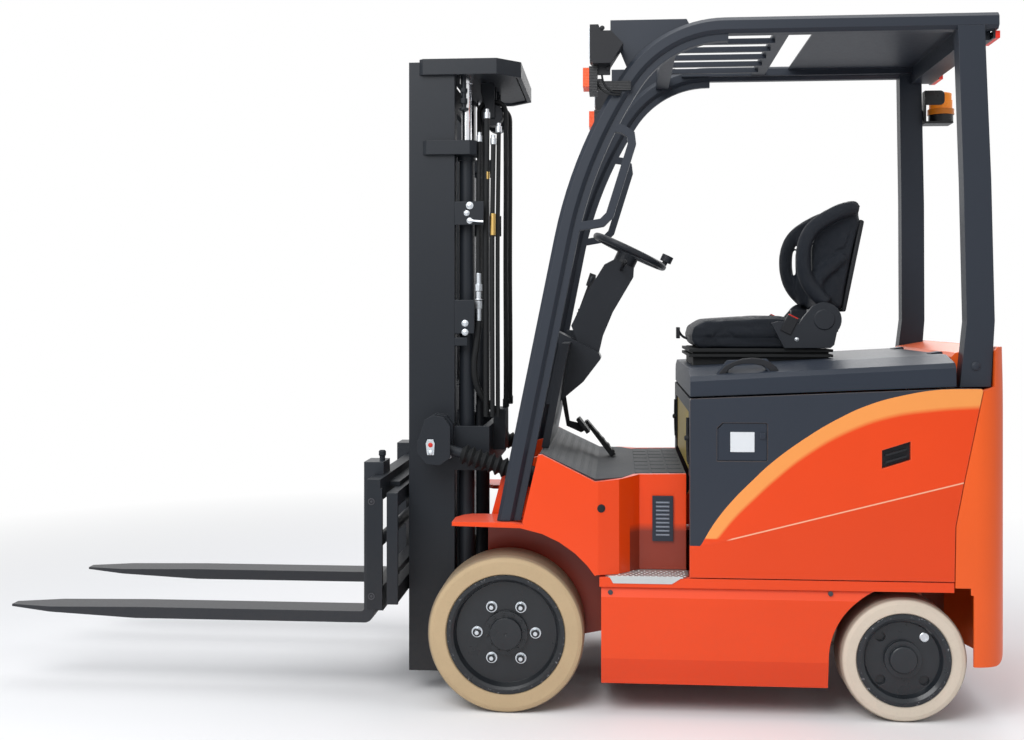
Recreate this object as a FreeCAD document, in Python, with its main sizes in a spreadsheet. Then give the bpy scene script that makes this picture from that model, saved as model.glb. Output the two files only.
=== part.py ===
import FreeCAD, Part
import math
import os
import Sketcher
from FreeCAD import Placement, Rotation, Vector

# Electric counterbalance forklift, rated for 2.5 t, with a two-stage mast.
# Millimetres. X runs to the rear, Y to the truck's right, Z up from the floor.
# Every piece is drawn from the front axle, then shifted so that the whole stands centred.

os.makedirs("parts", exist_ok=True)
doc = FreeCAD.newDocument("electric_forklift")

X_AXIS, Y_AXIS, Z_AXIS = Vector(1, 0, 0), Vector(0, 1, 0), Vector(0, 0, 1)

# Driving sizes: name, value in millimetres or degrees, what it measures.
SIZES = [
    ("wheelbase", 1324, "front axle to rear axle"),
    ("fork_reach", 1828, "front axle to the fork tips"),
    ("tail_behind", 163, "rear axle to the joint of side panel and counterweight"),
    ("weight_behind", 343, "rear axle to the back of the counterweight"),
    ("beacon_behind", 73, "back of the counterweight to the back of the beacon"),
    ("body_half", 540, "middle to the body's side"),
    ("gap", 5, "running clearance between moving pieces"),
    ("seat_gap", 0.3, "clearance of pieces that rest against others"),
    ("front_radius", 266.7, "front tyre, 21 inches across"),
    ("front_wide", 178, "front tyre's width"),
    ("front_bore", 190.5, "front rim, 15 inches across"),
    ("front_inset", 2, "body's side to the front tyre's outer face"),
    ("rear_radius", 206.4, "rear tyre, 16.25 inches across"),
    ("rear_wide", 152, "rear tyre's width"),
    ("rear_bore", 142.9, "rear rim, 11.25 inches across"),
    ("rear_inset", 9, "body's side to the rear tyre's outer face"),
    ("king_inset", 186, "rear tyre's outer face to the king pin"),
    ("steer_arm", 110, "king pin to the steering arm's pin"),
    ("skirt_low", 108, "floor to the skirt's lower edge"),
    ("skirt_top", 436, "floor to the skirt's upper edge"),
    ("sill_top", 471, "floor to the sill's top"),
    ("skirt_front", 324, "front axle to the skirt's front edge"),
    ("rear_arch", 247, "radius of the rear wheel arch"),
    ("sweep", 288, "radius swept by a steered rear wheel, with clearance"),
    ("cowl_edge", 617, "front axle to the rear edge of the cowl"),
    ("step_deep", 115, "body's side to the recessed wall over the step"),
    ("step_lip", 22, "drop of the step plate's turned-down lip"),
    ("fender_top", 648, "floor to the top of the front fender"),
    ("fender_radius", 366, "front axle to the fender's inside"),
    ("floor_top", 795, "floor to the operator's floor plate"),
    ("toe_top", 877, "floor to the top of the toe board"),
    ("lid_front_low", 1076, "floor to the hood's lower edge in front"),
    ("lid_rear_low", 1114, "floor to the hood's lower edge behind"),
    ("lid_front_edge", 1143, "floor to the hood's shoulder in front"),
    ("lid_rear_edge", 1192, "floor to the hood's shoulder behind"),
    ("lid_crown", 24, "rise of the hood's flat middle over its shoulder"),
    ("lid_wall", 20, "hood's shell"),
    ("battery_room", 140, "body's side to the battery"),
    ("flap_ahead", 93, "cowl's rear edge to the charge flap's opening"),
    ("flap_long", 166, "charge flap's opening, front to rear"),
    ("flap_low", 863, "floor to the lower edge of the charge flap's opening"),
    ("flap_tall", 127, "charge flap's opening, bottom to top"),
    ("flap_gap", 1.5, "clearance round the charge flap"),
    ("flap_pin", 2.5, "radius of the charge flap's hinge"),
    ("weight_top", 1245, "floor to the counterweight's top"),
    ("weight_low", 192, "floor to the counterweight's underside"),
    ("roof_top", 2367, "floor to the overhead guard's rails"),
    ("guard_inset", 15, "body's side to the guard's feet"),
    ("guard_wide", 60, "guard tube, side to side"),
    ("guard_deep", 56, "guard tube, in its plane"),
    ("guard_lean", 2.2, "inward lean of the guard's sides, degrees"),
    ("mast_room", 30, "front tyre's inner face to the mast, and to the tilt cylinders"),
    ("mast_front", -365, "front axle to the mast's front face"),
    ("mast_deep", 164, "front to back of the outer channel"),
    ("mast_low", 80, "floor to the mast's lower end"),
    ("mast_top", 2253, "floor to the outer channels' top"),
    ("mast_web", 16, "outer channel's web"),
    ("mast_flange", 20, "outer channel's flange"),
    ("mast_lip", 68, "outer channel, side to side"),
    ("tilt_x", -125, "front axle to the mast's tilt pins"),
    ("tilt_z", 250, "floor to the mast's tilt pins"),
    ("tilt_pin_r", 20, "radius of the mast's tilt pins"),
    ("fork_low", 261, "floor to the underside of the raised forks"),
    ("fork_thick", 40, "fork's thickness"),
    ("fork_wide", 122, "fork blade's width"),
    ("fork_out", 388, "middle to the forks' outer edges"),
    ("shank_front", -516, "front axle to the front of the fork shanks"),
    ("bar_inset", 20, "body's side to the ends of the fork bars"),
    ("bar_top", 786, "floor to the top of the upper fork bar"),
    ("lift_main", 1450, "stroke of the inner mast"),
    ("lift_free", 1300, "stroke of the carriage above this height"),
    ("lift_down", 225, "stroke of the carriage below this height"),
    ("shift", 100, "sideways travel of the forks each way"),
]


class Size:
    """A value of the sheet, or one worked out from it, with the expression that keeps it bound."""

    def __init__(self, value, text):
        self.value = value
        self.text = text

    def __float__(self):
        return float(self.value)

    def __add__(self, other):
        return Size(self.value + number(other), "(%s + %s)" % (self.text, wording(other)))

    def __radd__(self, other):
        return Size(number(other) + self.value, "(%s + %s)" % (wording(other), self.text))

    def __sub__(self, other):
        return Size(self.value - number(other), "(%s - %s)" % (self.text, wording(other)))

    def __rsub__(self, other):
        return Size(number(other) - self.value, "(%s - %s)" % (wording(other), self.text))

    def __mul__(self, other):
        return Size(self.value * number(other), "(%s * %s)" % (self.text, wording(other)))

    def __rmul__(self, other):
        return Size(number(other) * self.value, "(%s * %s)" % (wording(other), self.text))

    def __truediv__(self, other):
        return Size(self.value / number(other), "(%s / %s)" % (self.text, wording(other)))

    def __neg__(self):
        return Size(-self.value, "(0 - %s)" % self.text)


def number(value):
    """The plain number of a size or of a number."""
    return value.value if isinstance(value, Size) else float(value)


def wording(value):
    """The expression of a size, or a number written out."""
    return value.text if isinstance(value, Size) else "%.6f" % value


class Named:
    """The sheet's sizes as attributes."""


def fill_sheet():
    """Write the driving sizes to the sheet and return them as bound values."""
    sheet = doc.addObject("Spreadsheet::Sheet", "dims")
    named = Named()
    for row, (alias, value, meaning) in enumerate(SIZES, start=1):
        sheet.set("A%d" % row, meaning)
        sheet.set("B%d" % row, str(value))
        sheet.setAlias("B%d" % row, alias)
    doc.recompute()
    for alias, _, _ in SIZES:
        setattr(named, alias, Size(float(sheet.get(alias)), "dims." + alias))
    return named


d = fill_sheet()
d.tail_line = d.wheelbase + d.tail_behind
d.rear_reach = d.wheelbase + d.weight_behind
d.beacon_reach = d.rear_reach + d.beacon_behind
d.front_face = d.body_half - d.front_inset
d.rear_face = d.body_half - d.rear_inset
d.king_half = d.rear_face - d.king_inset
d.step_half = d.body_half - d.step_deep
d.guard_half = d.body_half - d.guard_inset
d.mast_half = d.front_face - d.front_wide - d.mast_room
d.cylinder_y = d.front_face - d.front_wide + d.mast_room
d.carriage_half = d.body_half - d.bar_inset
d.inner_half = d.mast_half - d.mast_web - d.gap - 1
d.king_low = d.rear_radius - 56.4
d.king_high = d.rear_radius + 61.6
d.flap_x = d.cowl_edge + d.flap_ahead
AXLE_X = (d.fork_reach - d.beacon_reach) / 2


def bind(thing, prop, value):
    """Tie a property to the sheet when its value comes from there."""
    if isinstance(value, Size):
        thing.setExpression(prop, value.text)


def own_plane(body, role):
    return next(f for f in body.Origin.OriginFeatures if f.Role == role)


def new_body(name):
    return doc.addObject("PartDesign::Body", name)


def new_sketch(body, plane, place):
    """A sketch on the body's own plane, moved along the plane's axis to the given place."""
    sketch = body.newObject("Sketcher::SketchObject", body.Name + "_sketch")
    sketch.AttachmentSupport = [(own_plane(body, plane + "_Plane"), "")]
    sketch.MapMode = "FlatFace"
    away = -place if plane == "XZ" else place
    sketch.AttachmentOffset = Placement(Vector(0, 0, number(away)), Rotation())
    bind(sketch, "AttachmentOffset.Base.z", away)
    return sketch


def pin_down(sketch, item, end, u, v):
    """Hold one end of a sketch line at two named coordinates."""
    for kind, value in (("DistanceX", u), ("DistanceY", v)):
        index = sketch.addConstraint(Sketcher.Constraint(kind, -1, 1, item, end, number(value)))
        bind(sketch, "Constraints[%d]" % index, value)


def corner_arc(before, corner, after, radius):
    """Tangent points, centre and turning side of a rounded corner."""
    came = (corner - before).normalize()
    goes = (after - corner).normalize()
    turn = math.acos(max(-1.0, min(1.0, came.dot(goes))))
    reach = radius * math.tan(turn / 2)
    left = came.cross(goes).z > 0
    start, end = corner - came * reach, corner + goes * reach
    across = Vector(-came.y, came.x, 0) if left else Vector(came.y, -came.x, 0)
    return start, end, start + across * radius, left


def draw_outline(sketch, points):
    """A closed outline; each point is (u, v), or (u, v, radius) for a rounded corner."""
    count = len(points)
    corners = [Vector(number(p[0]), number(p[1]), 0) for p in points]
    radii = [p[2] if len(p) > 2 else None for p in points]
    starts, ends, arcs = list(corners), list(corners), {}
    for i, radius in enumerate(radii):
        if radius is not None:
            start, end, centre, left = corner_arc(
                corners[i - 1], corners[i], corners[(i + 1) % count], number(radius))
            ends[i], starts[i], arcs[i] = start, end, (centre, left)
    for i in range(count):
        sketch.addGeometry(Part.LineSegment(starts[i], ends[(i + 1) % count]), False)
    for i, (u, v) in enumerate(p[:2] for p in points):
        if i not in arcs:
            sketch.addConstraint(Sketcher.Constraint("Coincident", (i - 1) % count, 2, i, 1))
            pin_down(sketch, i, 1, u, v)
            continue
        centre, left = arcs[i]
        first, last = (ends[i], starts[i]) if left else (starts[i], ends[i])
        circle = Part.Circle(centre, Z_AXIS, number(radii[i]))
        angles = [math.atan2(p.y - centre.y, p.x - centre.x) for p in (first, last)]
        if angles[1] < angles[0]:
            angles[1] += 2 * math.pi
        arc = sketch.addGeometry(Part.ArcOfCircle(circle, angles[0], angles[1]), False)
        head, tail = (1, 2) if left else (2, 1)
        sketch.addConstraint(Sketcher.Constraint("Tangent", (i - 1) % count, 2, arc, head))
        sketch.addConstraint(Sketcher.Constraint("Tangent", arc, tail, i, 1))
        index = sketch.addConstraint(Sketcher.Constraint("Radius", arc, number(radii[i])))
        bind(sketch, "Constraints[%d]" % index, radii[i])
        apex = sketch.addGeometry(Part.Point(corners[i]), True)
        pin_down(sketch, apex, 1, u, v)
        sketch.addConstraint(Sketcher.Constraint("PointOnObject", apex, 1, (i - 1) % count))
        sketch.addConstraint(Sketcher.Constraint("PointOnObject", apex, 1, i))


def draw_circle(sketch, centre, radius):
    u, v = centre
    item = sketch.addGeometry(
        Part.Circle(Vector(number(u), number(v), 0), Vector(0, 0, 1), number(radius)), False)
    index = sketch.addConstraint(Sketcher.Constraint("Radius", item, number(radius)))
    bind(sketch, "Constraints[%d]" % index, radius)
    pin_down(sketch, item, 3, u, v)


def raise_sketch(body, sketch, low, high, cut):
    """Pad or pocket a sketch from low to high along its plane's axis."""
    kind = "PartDesign::Pocket" if cut else "PartDesign::Pad"
    feature = body.newObject(kind, sketch.Name + "_solid")
    feature.Profile = sketch
    feature.Length = number(high - low)
    bind(feature, "Length", high - low)
    feature.Reversed = cut
    return feature


def slab(body, plane, points, low, high, cut=False):
    """A block with a straight-edged outline; the XZ plane's blocks start from their high side."""
    sketch = new_sketch(body, plane, high if plane == "XZ" else low)
    draw_outline(sketch, points)
    return raise_sketch(body, sketch, low, high, cut)


def disc(body, plane, centre, radius, low, high, cut=False):
    """A round block or hole."""
    sketch = new_sketch(body, plane, high if plane == "XZ" else low)
    draw_circle(sketch, centre, radius)
    return raise_sketch(body, sketch, low, high, cut)


def box(x0, x1, z0, z1):
    """Corners of a rectangle, given by its two pairs of edges."""
    return [(x0, z0), (x1, z0), (x1, z1), (x0, z1)]


def turned(body, points, plane="XY"):
    """A solid turned about the plane's upright axis from a half section (radius, height)."""
    sketch = new_sketch(body, plane, 0)
    draw_outline(sketch, points)
    feature = body.newObject("PartDesign::Revolution", sketch.Name + "_solid")
    feature.Profile = sketch
    feature.ReferenceAxis = (sketch, ["V_Axis"])
    feature.Angle = 360
    return feature


def soften(body, feature, radius, wanted):
    """Round the edges of a feature that the test picks."""
    doc.recompute()
    names = []
    for i, edge in enumerate(feature.Shape.Edges, start=1):
        if wanted(edge):
            names.append("Edge%d" % i)
    fillet = body.newObject("PartDesign::Fillet", body.Name + "_round")
    fillet.Base = (feature, names)
    fillet.Radius = number(radius)
    bind(fillet, "Radius", radius)
    body.Tip = fillet
    return fillet


def along(edge, axis):
    """Whether an edge is straight and runs along an axis."""
    if not isinstance(edge.Curve, (Part.Line, Part.LineSegment)):
        return False
    return abs(edge.tangentAt(edge.FirstParameter).dot(axis)) > 0.999


NODES = []


def keep(thing, label):
    """Name a sub-part and shift it from the front axle's frame to the truck's."""
    thing.Label = label
    base = thing.Placement.Base
    shift = AXLE_X + base.x
    thing.Placement = Placement(Vector(number(shift), base.y, base.z), thing.Placement.Rotation)
    bind(thing, "Placement.Base.x", shift)
    NODES.append(thing)
    return thing


def mirror(thing, name):
    """The same piece on the other side of the truck."""
    twin = doc.addObject("Part::Mirroring", name)
    twin.Source = thing
    twin.Base = Vector(0, 0, 0)
    twin.Normal = Vector(0, 1, 0)
    return twin


def join(name, pieces):
    group = doc.addObject("Part::MultiFuse", name)
    group.Shapes = pieces
    group.Refine = True
    return group


def both_sides(name, pieces):
    """Left-hand pieces with their mirrored twins, as one sub-part."""
    return join(name, pieces + [mirror(p, p.Name + "_twin") for p in pieces])


def place_at(thing, x=0, y=0, z=0, turn=None):
    """Put a body down with its own middle at a named place."""
    thing.Placement = Placement(Vector(number(x), number(y), number(z)), turn or Rotation())
    for axis, value in (("x", x), ("y", y), ("z", z)):
        bind(thing, "Placement.Base." + axis, value)
    return thing


REAR_X = d.wheelbase
SIDE = -d.body_half


# Wheels

def tyre(name, radius, bore, wide):
    """Solid cushion tyre with rounded shoulders and a recess for the rim's lip."""
    body = new_body(name)
    lip = bore + 11
    turned(body, [
        (bore, -wide / 2 + 12), (lip, -wide / 2 + 8), (lip + 4, -wide / 2),
        (radius - 20, -wide / 2), (radius - 6, -wide / 2 + 5), (radius, -wide / 2 + 18),
        (radius, wide / 2 - 18), (radius - 6, wide / 2 - 5), (radius - 20, wide / 2),
        (lip + 4, wide / 2), (bore, wide / 2)])
    return body


def rim(name, bore, wide, dish_r, hub_r, boss_r, dish_deep):
    """Pressed rim: lip, well, disc, hub flange and inside boss; the outside faces -Y."""
    body = new_body(name)
    out = -wide / 2
    face = out + dish_deep
    turned(body, [
        (0, face - 26), (hub_r * 0.7, face - 26), (hub_r * 0.75, face - 14), (hub_r, face - 14),
        (hub_r, face), (dish_r - 8, face), (dish_r, out + 10), (bore - 3, out + 2),
        (bore + 10.5, out + 3), (bore + 10.5, out + 7.6), (bore - 0.3, out + 11.6),
        (bore - 0.3, wide / 2 - 2), (bore - 12, wide / 2 - 2), (bore - 14, face + 34),
        (bore - 40, face + 16), (boss_r, face + 16), (boss_r, wide / 2 - 20), (0, wide / 2 - 20)])
    return body


def round_the_hub(body, feature, count):
    """Repeat a nut or a hole round the wheel's own axis."""
    ring = body.newObject("PartDesign::PolarPattern", feature.Name + "_ring")
    ring.Originals = [feature]
    ring.Axis = (own_plane(body, "Y_Axis"), [""])
    ring.Angle = 360
    ring.Occurrences = count
    body.Tip = ring


def make_wheels():
    """Four wheels, each a tyre and a rim; the right-hand ones are turned about."""
    about = Rotation(Z_AXIS, 180)
    for end, x, z, half in (
            ("front", Size(0, "0"), d.front_radius, d.front_face - d.front_wide / 2),
            ("rear", REAR_X, d.rear_radius, d.rear_face - d.rear_wide / 2)):
        for side, sign in (("left", -1), ("right", 1)):
            if end == "front":
                rubber = tyre("front_tyre_" + side, d.front_radius, d.front_bore, d.front_wide)
                steel = rim("front_rim_" + side, d.front_bore, d.front_wide, 179, 74, 74, 38)
                face = 38 - d.front_wide / 2
                nut = disc(steel, "XZ", (100, 0), 13, face - 16, face + 2)
                round_the_hub(steel, nut, 6)
            else:
                rubber = tyre("rear_tyre_" + side, d.rear_radius, d.rear_bore, d.rear_wide)
                steel = rim("rear_rim_" + side, d.rear_bore, d.rear_wide, 129, 61, 46, 30)
                face = 30 - d.rear_wide / 2
                cap = disc(steel, "XZ", (0, 0), 46, face - 28, face)
                soften(steel, cap, 8, lambda e: abs(e.Curve.Radius - 46) < 0.1
                       and e.CenterOfMass.y < number(face) - 27
                       if isinstance(e.Curve, Part.Circle) else False)
                hole = disc(steel, "XZ", (72, 72), 17, face - 5, face + 12, cut=True)
                round_the_hub(steel, hole, 4)
            for piece in (rubber, steel):
                place_at(piece, x + AXLE_X, half * sign, z, about if sign > 0 else None)
                piece.Label = piece.Name
                NODES.append(piece)


# Axles and steering

def make_drive_axle():
    """Axle tube between the front wheels, with its gearbox, motor and the mast's lugs."""
    inner = d.front_face - d.front_wide
    tube = new_body("axle_tube")
    half = inner - d.gap
    turned(tube, [
        (0, -half), (80, -half), (80, -half + 16), (62, -half + 40), (62, -190), (100, -120),
        (115, -60), (115, 60), (100, 120), (62, 190), (62, half - 40), (80, half - 16),
        (80, half), (0, half)])
    stub = inner + 19.7
    disc(tube, "XZ", (0, 0), 35, -stub, stub)
    place_at(tube, 0, 0, d.front_radius)
    motor = new_body("drive_motor")
    disc(motor, "YZ", (0, d.front_radius + 20), 118, 40, 290)
    lugs = new_body("mast_lugs")
    outline = [(0, d.tilt_z - 45), (0, d.tilt_z + 70), (d.tilt_x, d.tilt_z + 36),
               (d.tilt_x - 34, d.tilt_z + 12), (d.tilt_x - 34, d.tilt_z - 20),
               (d.tilt_x, d.tilt_z - 38)]
    slab(lugs, "XZ", outline, -d.mast_half + 45, -d.mast_half + 68)
    disc(lugs, "XZ", (d.tilt_x, d.tilt_z), d.tilt_pin_r, -d.mast_half - 6, -d.mast_half + 50)
    twin = mirror(lugs, "mast_lugs_twin")
    keep(join("drive_axle_piece", [tube, motor, lugs, twin]), "drive_axle")


def make_steer_axle():
    """Rear axle beam with forked ends that hold the king pins, and the steering cylinder."""
    beam = new_body("axle_beam")
    low, high = d.king_low, d.king_high
    reach = d.king_half + 42
    half = [(reach, low - 22), (reach, high + 22), (d.king_half - 145, high + 22),
            (d.king_half - 225, high + 60)]
    slab(beam, "YZ", half + [(-y, z) for y, z in reversed(half)]
         + [(75 - d.king_half, low - 22), (115 - d.king_half, low + 10),
            (d.king_half - 115, low + 10), (d.king_half - 75, low - 22)],
         REAR_X - 50, REAR_X + 50)
    for sign in (-1, 1):
        slab(beam, "YZ", box(*sorted((sign * (d.king_half - 62), sign * (reach + 10)),
                                     key=number), low, high),
             REAR_X - 80, REAR_X + 80, cut=True)
        outer, inner = sign * (d.king_half - 55), sign * (d.king_half - 145)
        slab(beam, "XY", [(REAR_X - 18, outer), (REAR_X + 70, outer), (REAR_X + 70, inner),
                          (REAR_X + 20, inner)], low, low + 34, cut=True)
        disc(beam, "XY", (REAR_X, sign * d.king_half), 20, low - 22, high + 22)
    disc(beam, "XZ", (REAR_X + 84, low + 60), 34, 235 - d.king_half, d.king_half - 235)
    disc(beam, "XZ", (REAR_X + 84, low + 60), 22, 189 - d.king_half, d.king_half - 189)
    slab(beam, "XZ", box(REAR_X + 40, REAR_X + 84, low + 30, low + 90),
         250 - d.king_half, d.king_half - 250)
    disc(beam, "YZ", (0, high + 40), 40, REAR_X - 110, REAR_X + 110)
    keep(beam, "steer_axle")


def make_knuckles():
    """Steering knuckles: a bored king pin boss, the wheel's stub axle and the steering arm."""
    inner = d.rear_face - d.rear_wide
    for side, sign in (("left", -1), ("right", 1)):
        body = new_body("knuckle_" + side)
        low, high = d.king_low + d.gap, d.king_high - d.gap
        disc(body, "XY", (REAR_X, sign * d.king_half), 44, low, high)
        near, far = sorted((sign * (d.king_half + 20), sign * (inner + 19.7)), key=number)
        disc(body, "XZ", (REAR_X, d.rear_radius), 32, near, far)
        near, far = sorted((sign * d.king_half, sign * (inner - 5)), key=number)
        disc(body, "XZ", (REAR_X, d.rear_radius), 50, near, far)
        tip = REAR_X + d.steer_arm + 24
        slab(body, "XY", [(REAR_X, sign * (d.king_half - 30)), (tip, sign * (d.king_half - 15)),
                          (tip, sign * (d.king_half + 15)), (REAR_X, sign * (d.king_half + 30))],
             low, low + 24)
        disc(body, "XY", (REAR_X, sign * d.king_half), 20.05, low - 1, high + 1, cut=True)
        keep(body, "knuckle_" + side)


# Chassis

def skirt_section():
    side = d.body_half
    return [(-side + 40, d.skirt_top), (-side + 12, d.skirt_top), (-side, d.skirt_top - 34),
            (-side, d.skirt_low + 88), (-side + 18, d.skirt_low), (-side + 40, d.skirt_low)]


def make_chassis():
    """Welded frame: skirts, sills, floor pan, rails beside the drive axle, rear deck."""
    skirt = new_body("skirt")
    slab(skirt, "YZ", skirt_section(), d.skirt_front, REAR_X - 90)
    disc(skirt, "XZ", (REAR_X, d.rear_radius), d.rear_arch, SIDE - 5, SIDE + 60, cut=True)
    slab(skirt, "XZ", box(REAR_X - d.rear_arch, REAR_X, d.skirt_low - 5, d.rear_radius),
         SIDE - 5, SIDE + 60, cut=True)
    sill = new_body("sill")
    slab(sill, "XZ", box(d.skirt_front - 6, d.tail_line - 4, d.skirt_top, d.sill_top - 3),
         SIDE, SIDE + d.battery_room - d.seat_gap)
    deck = new_body("deck_edge")
    slab(deck, "XZ", box(d.skirt_front, REAR_X - d.sweep - 6, d.skirt_low, d.skirt_top),
         -d.step_half, -d.step_half + 12)
    sides = [skirt, sill, deck]
    pan = new_body("floor_pan")
    slab(pan, "XZ", box(d.skirt_front, REAR_X - d.sweep - 6, d.skirt_low, d.skirt_low + 12),
         SIDE + 30, -SIDE - 30)
    front = new_body("front_wall")
    slab(front, "XZ", box(d.skirt_front, d.skirt_front + 14, d.skirt_low, 607.7),
         SIDE + 36 + d.seat_gap, -SIDE - 36 - d.seat_gap)
    back = new_body("back_wall")
    slab(back, "XZ", box(REAR_X - d.sweep - 18, REAR_X - d.sweep - 6, d.skirt_low, 460),
         SIDE + 20, -SIDE - 20)
    rails = new_body("rail")
    inner = d.front_face - d.front_wide - 12
    slab(rails, "XZ", [(-78, 330), (-78, 600), (-20, d.toe_top - 60), (112, d.toe_top - 22.3),
                       (d.skirt_front - 20, d.floor_top - 22.3),
                       (d.skirt_front + 70, d.floor_top - 20.3), (d.skirt_front + 70, 560),
                       (d.skirt_front, 540), (d.skirt_front, 240), (120, 200), (60, 300)],
         -inner, -d.mast_half - d.gap)
    disc(rails, "XZ", (0, d.front_radius), 80 + d.seat_gap, -inner - 5, -inner + 30, cut=True)
    bulkhead = new_body("bulkhead")
    slab(bulkhead, "XZ", box(-30, -18, 430, 740), -inner + 10, inner - 10)
    rear_deck = new_body("rear_deck")
    slab(rear_deck, "XZ", box(REAR_X - d.sweep - 18, d.tail_line - 4, d.sill_top - 12,
                              d.sill_top + 6), SIDE + 34 + d.seat_gap, -SIDE - 34 - d.seat_gap)
    hanger = new_body("axle_hanger")
    for x in (-100, 70):
        slab(hanger, "XZ", box(REAR_X + x, REAR_X + x + 30, d.king_high - 6, d.sill_top),
             -100, 100)
    disc(hanger, "YZ", (0, d.king_high + 40), 40.05, REAR_X - 120, REAR_X + 120, cut=True)
    pieces = [pan, front, back, bulkhead, rear_deck, hanger]
    for piece in sides + [rails, make_heel_brackets()]:
        pieces += [piece, mirror(piece, piece.Name + "_twin")]
    keep(join("chassis_piece", pieces), "chassis_frame")


def make_steps():
    """Tread plates of the two steps."""
    step = new_body("step")
    near = SIDE - 2
    slab(step, "XY", [(d.skirt_front + 14.3, near + 16), (d.skirt_front + 26, near),
                      (d.cowl_edge - 20, near), (d.cowl_edge, near + 30),
                      (d.cowl_edge, -d.step_half - 1), (d.skirt_front + 130, -d.step_half - 1),
                      (d.skirt_front + 14.3, near + 36)],
         d.sill_top - 2.7, d.sill_top + 3)
    slab(step, "XZ", [(d.skirt_front + 26, d.sill_top + 3), (d.cowl_edge - 18, d.sill_top + 3),
                      (d.cowl_edge - 57, d.sill_top - d.step_lip),
                      (d.skirt_front + 40, d.sill_top - d.step_lip)],
         near, SIDE - d.seat_gap)
    keep(both_sides("steps", [step]), "step_plates")


def arc_points(radius, angles):
    """Points on a circle about the front axle, at angles over the horizontal."""
    turns = [math.radians(angle) for angle in angles]
    return [(radius * math.cos(a), d.front_radius + radius * math.sin(a)) for a in turns]


def make_cowl():
    """Front cowl: side walls that turn inward over the step, fenders, and the dash wall."""
    wall = new_body("cowl_plan")
    low, high = Size(415, "415"), d.toe_top + 10
    x_in = d.skirt_front + 130
    slab(wall, "XY", [(20, SIDE), (d.skirt_front - 10, SIDE), (d.skirt_front + 60, SIDE + 24),
                      (d.skirt_front + 108, SIDE + 84), (x_in, -d.step_half),
                      (d.cowl_edge - 3, -d.step_half), (d.cowl_edge - 3, -d.step_half + 24),
                      (x_in - 20, -d.step_half + 24), (d.skirt_front + 70, SIDE + 60),
                      (d.skirt_front - 14, SIDE + 24), (20, SIDE + 24)], low, high)
    side = new_body("cowl_side")
    outline = [(58, d.fender_top + 1), (111, d.toe_top), (124, d.toe_top + 1),
               (d.skirt_front - 20, d.floor_top - 7), (d.skirt_front + 130, d.floor_top + 6),
               (d.cowl_edge, d.floor_top + 8), (d.cowl_edge, d.sill_top + 4),
               (d.skirt_front - 4, d.sill_top + 4)]
    lip = 12
    arch = arc_points(d.fender_radius + lip / 2, (34, 41, 50, 60, 70, 80))
    slab(side, "XZ", outline + arch, SIDE - 5, -d.step_half + 40)
    common = doc.addObject("Part::Common", "cowl_wall")
    common.Base = wall
    common.Tool = side
    fender = new_body("fender")
    outer = arc_points(d.fender_radius + lip, (34, 41, 50, 60, 70, 80))
    inner = arc_points(d.fender_radius, (82, 70, 60, 50, 41, 34))
    flat = [(20, d.fender_top), (-182, d.fender_top), (-182, d.fender_top - 14)]
    slab(fender, "XZ", outer + flat + inner, SIDE, SIDE + 178)
    slab(fender, "XY", [(-200, SIDE + 60), (-200, SIDE + 190), (-120, SIDE + 190),
                        (-160, SIDE + 150)], d.fender_top - 40, d.fender_top + 10, cut=True)
    pieces = []
    for piece in (common, fender):
        pieces += [piece, mirror(piece, piece.Name + "_twin")]
    keep(join("cowl_piece", pieces), "front_cowl")


def make_floor():
    """Rubber-covered floor plate with its raised toe board."""
    plan = new_body("floor_plan")
    edge = SIDE + 26
    slab(plan, "XY", [(90, edge), (d.skirt_front - 14, edge), (d.skirt_front + 70, SIDE + 62),
                      (d.skirt_front + 108, -d.step_half + 26), (d.cowl_edge - 3, -d.step_half + 26),
                      (d.cowl_edge - 3, d.step_half - 26), (d.skirt_front + 108, d.step_half - 26),
                      (d.skirt_front + 70, -SIDE - 62), (d.skirt_front - 14, -edge), (90, -edge)],
         700, 960)
    side = new_body("floor_side")
    slab(side, "XZ", [(112, d.toe_top - 3), (124, d.toe_top + 3), (d.skirt_front - 20, d.floor_top),
                      (d.cowl_edge, d.floor_top + 8), (d.cowl_edge, d.floor_top - 14),
                      (d.skirt_front - 20, d.floor_top - 22), (124, d.toe_top - 22)],
         SIDE, -SIDE)
    common = doc.addObject("Part::Common", "floor_piece")
    common.Base = plan
    common.Tool = side
    keep(common, "floor_plate")


def make_grilles():
    """Vent grilles with nine louvres each."""
    grille = new_body("grille")
    wall = -d.step_half
    low, high = 573, 728
    left, right = 498, 569
    slab(grille, "XZ", box(left, right, low, high), wall - 8.3, wall - 0.3)
    count = 9
    pitch = (high - low - 30) / count
    for i in range(count):
        z = low + 18 + pitch * i
        slab(grille, "XZ", box(left + 12, right - 12, z, z + pitch * 0.55),
             wall - 12, wall - 4, cut=True)
    keep(both_sides("grilles", [grille]), "vent_grilles")


def flap_outline(inset, corner=18):
    """The charge flap's opening, drawn in by a clearance; its upper front corner is cut off."""
    x0, x1 = d.flap_x + inset, d.flap_x + d.flap_long - inset
    z0, z1 = d.flap_low + inset, d.flap_low + d.flap_tall - inset
    return [(x0, z0), (x1, z0, 6), (x1, z1, 6), (x0 + corner, z1), (x0, z1 - corner)]


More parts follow.
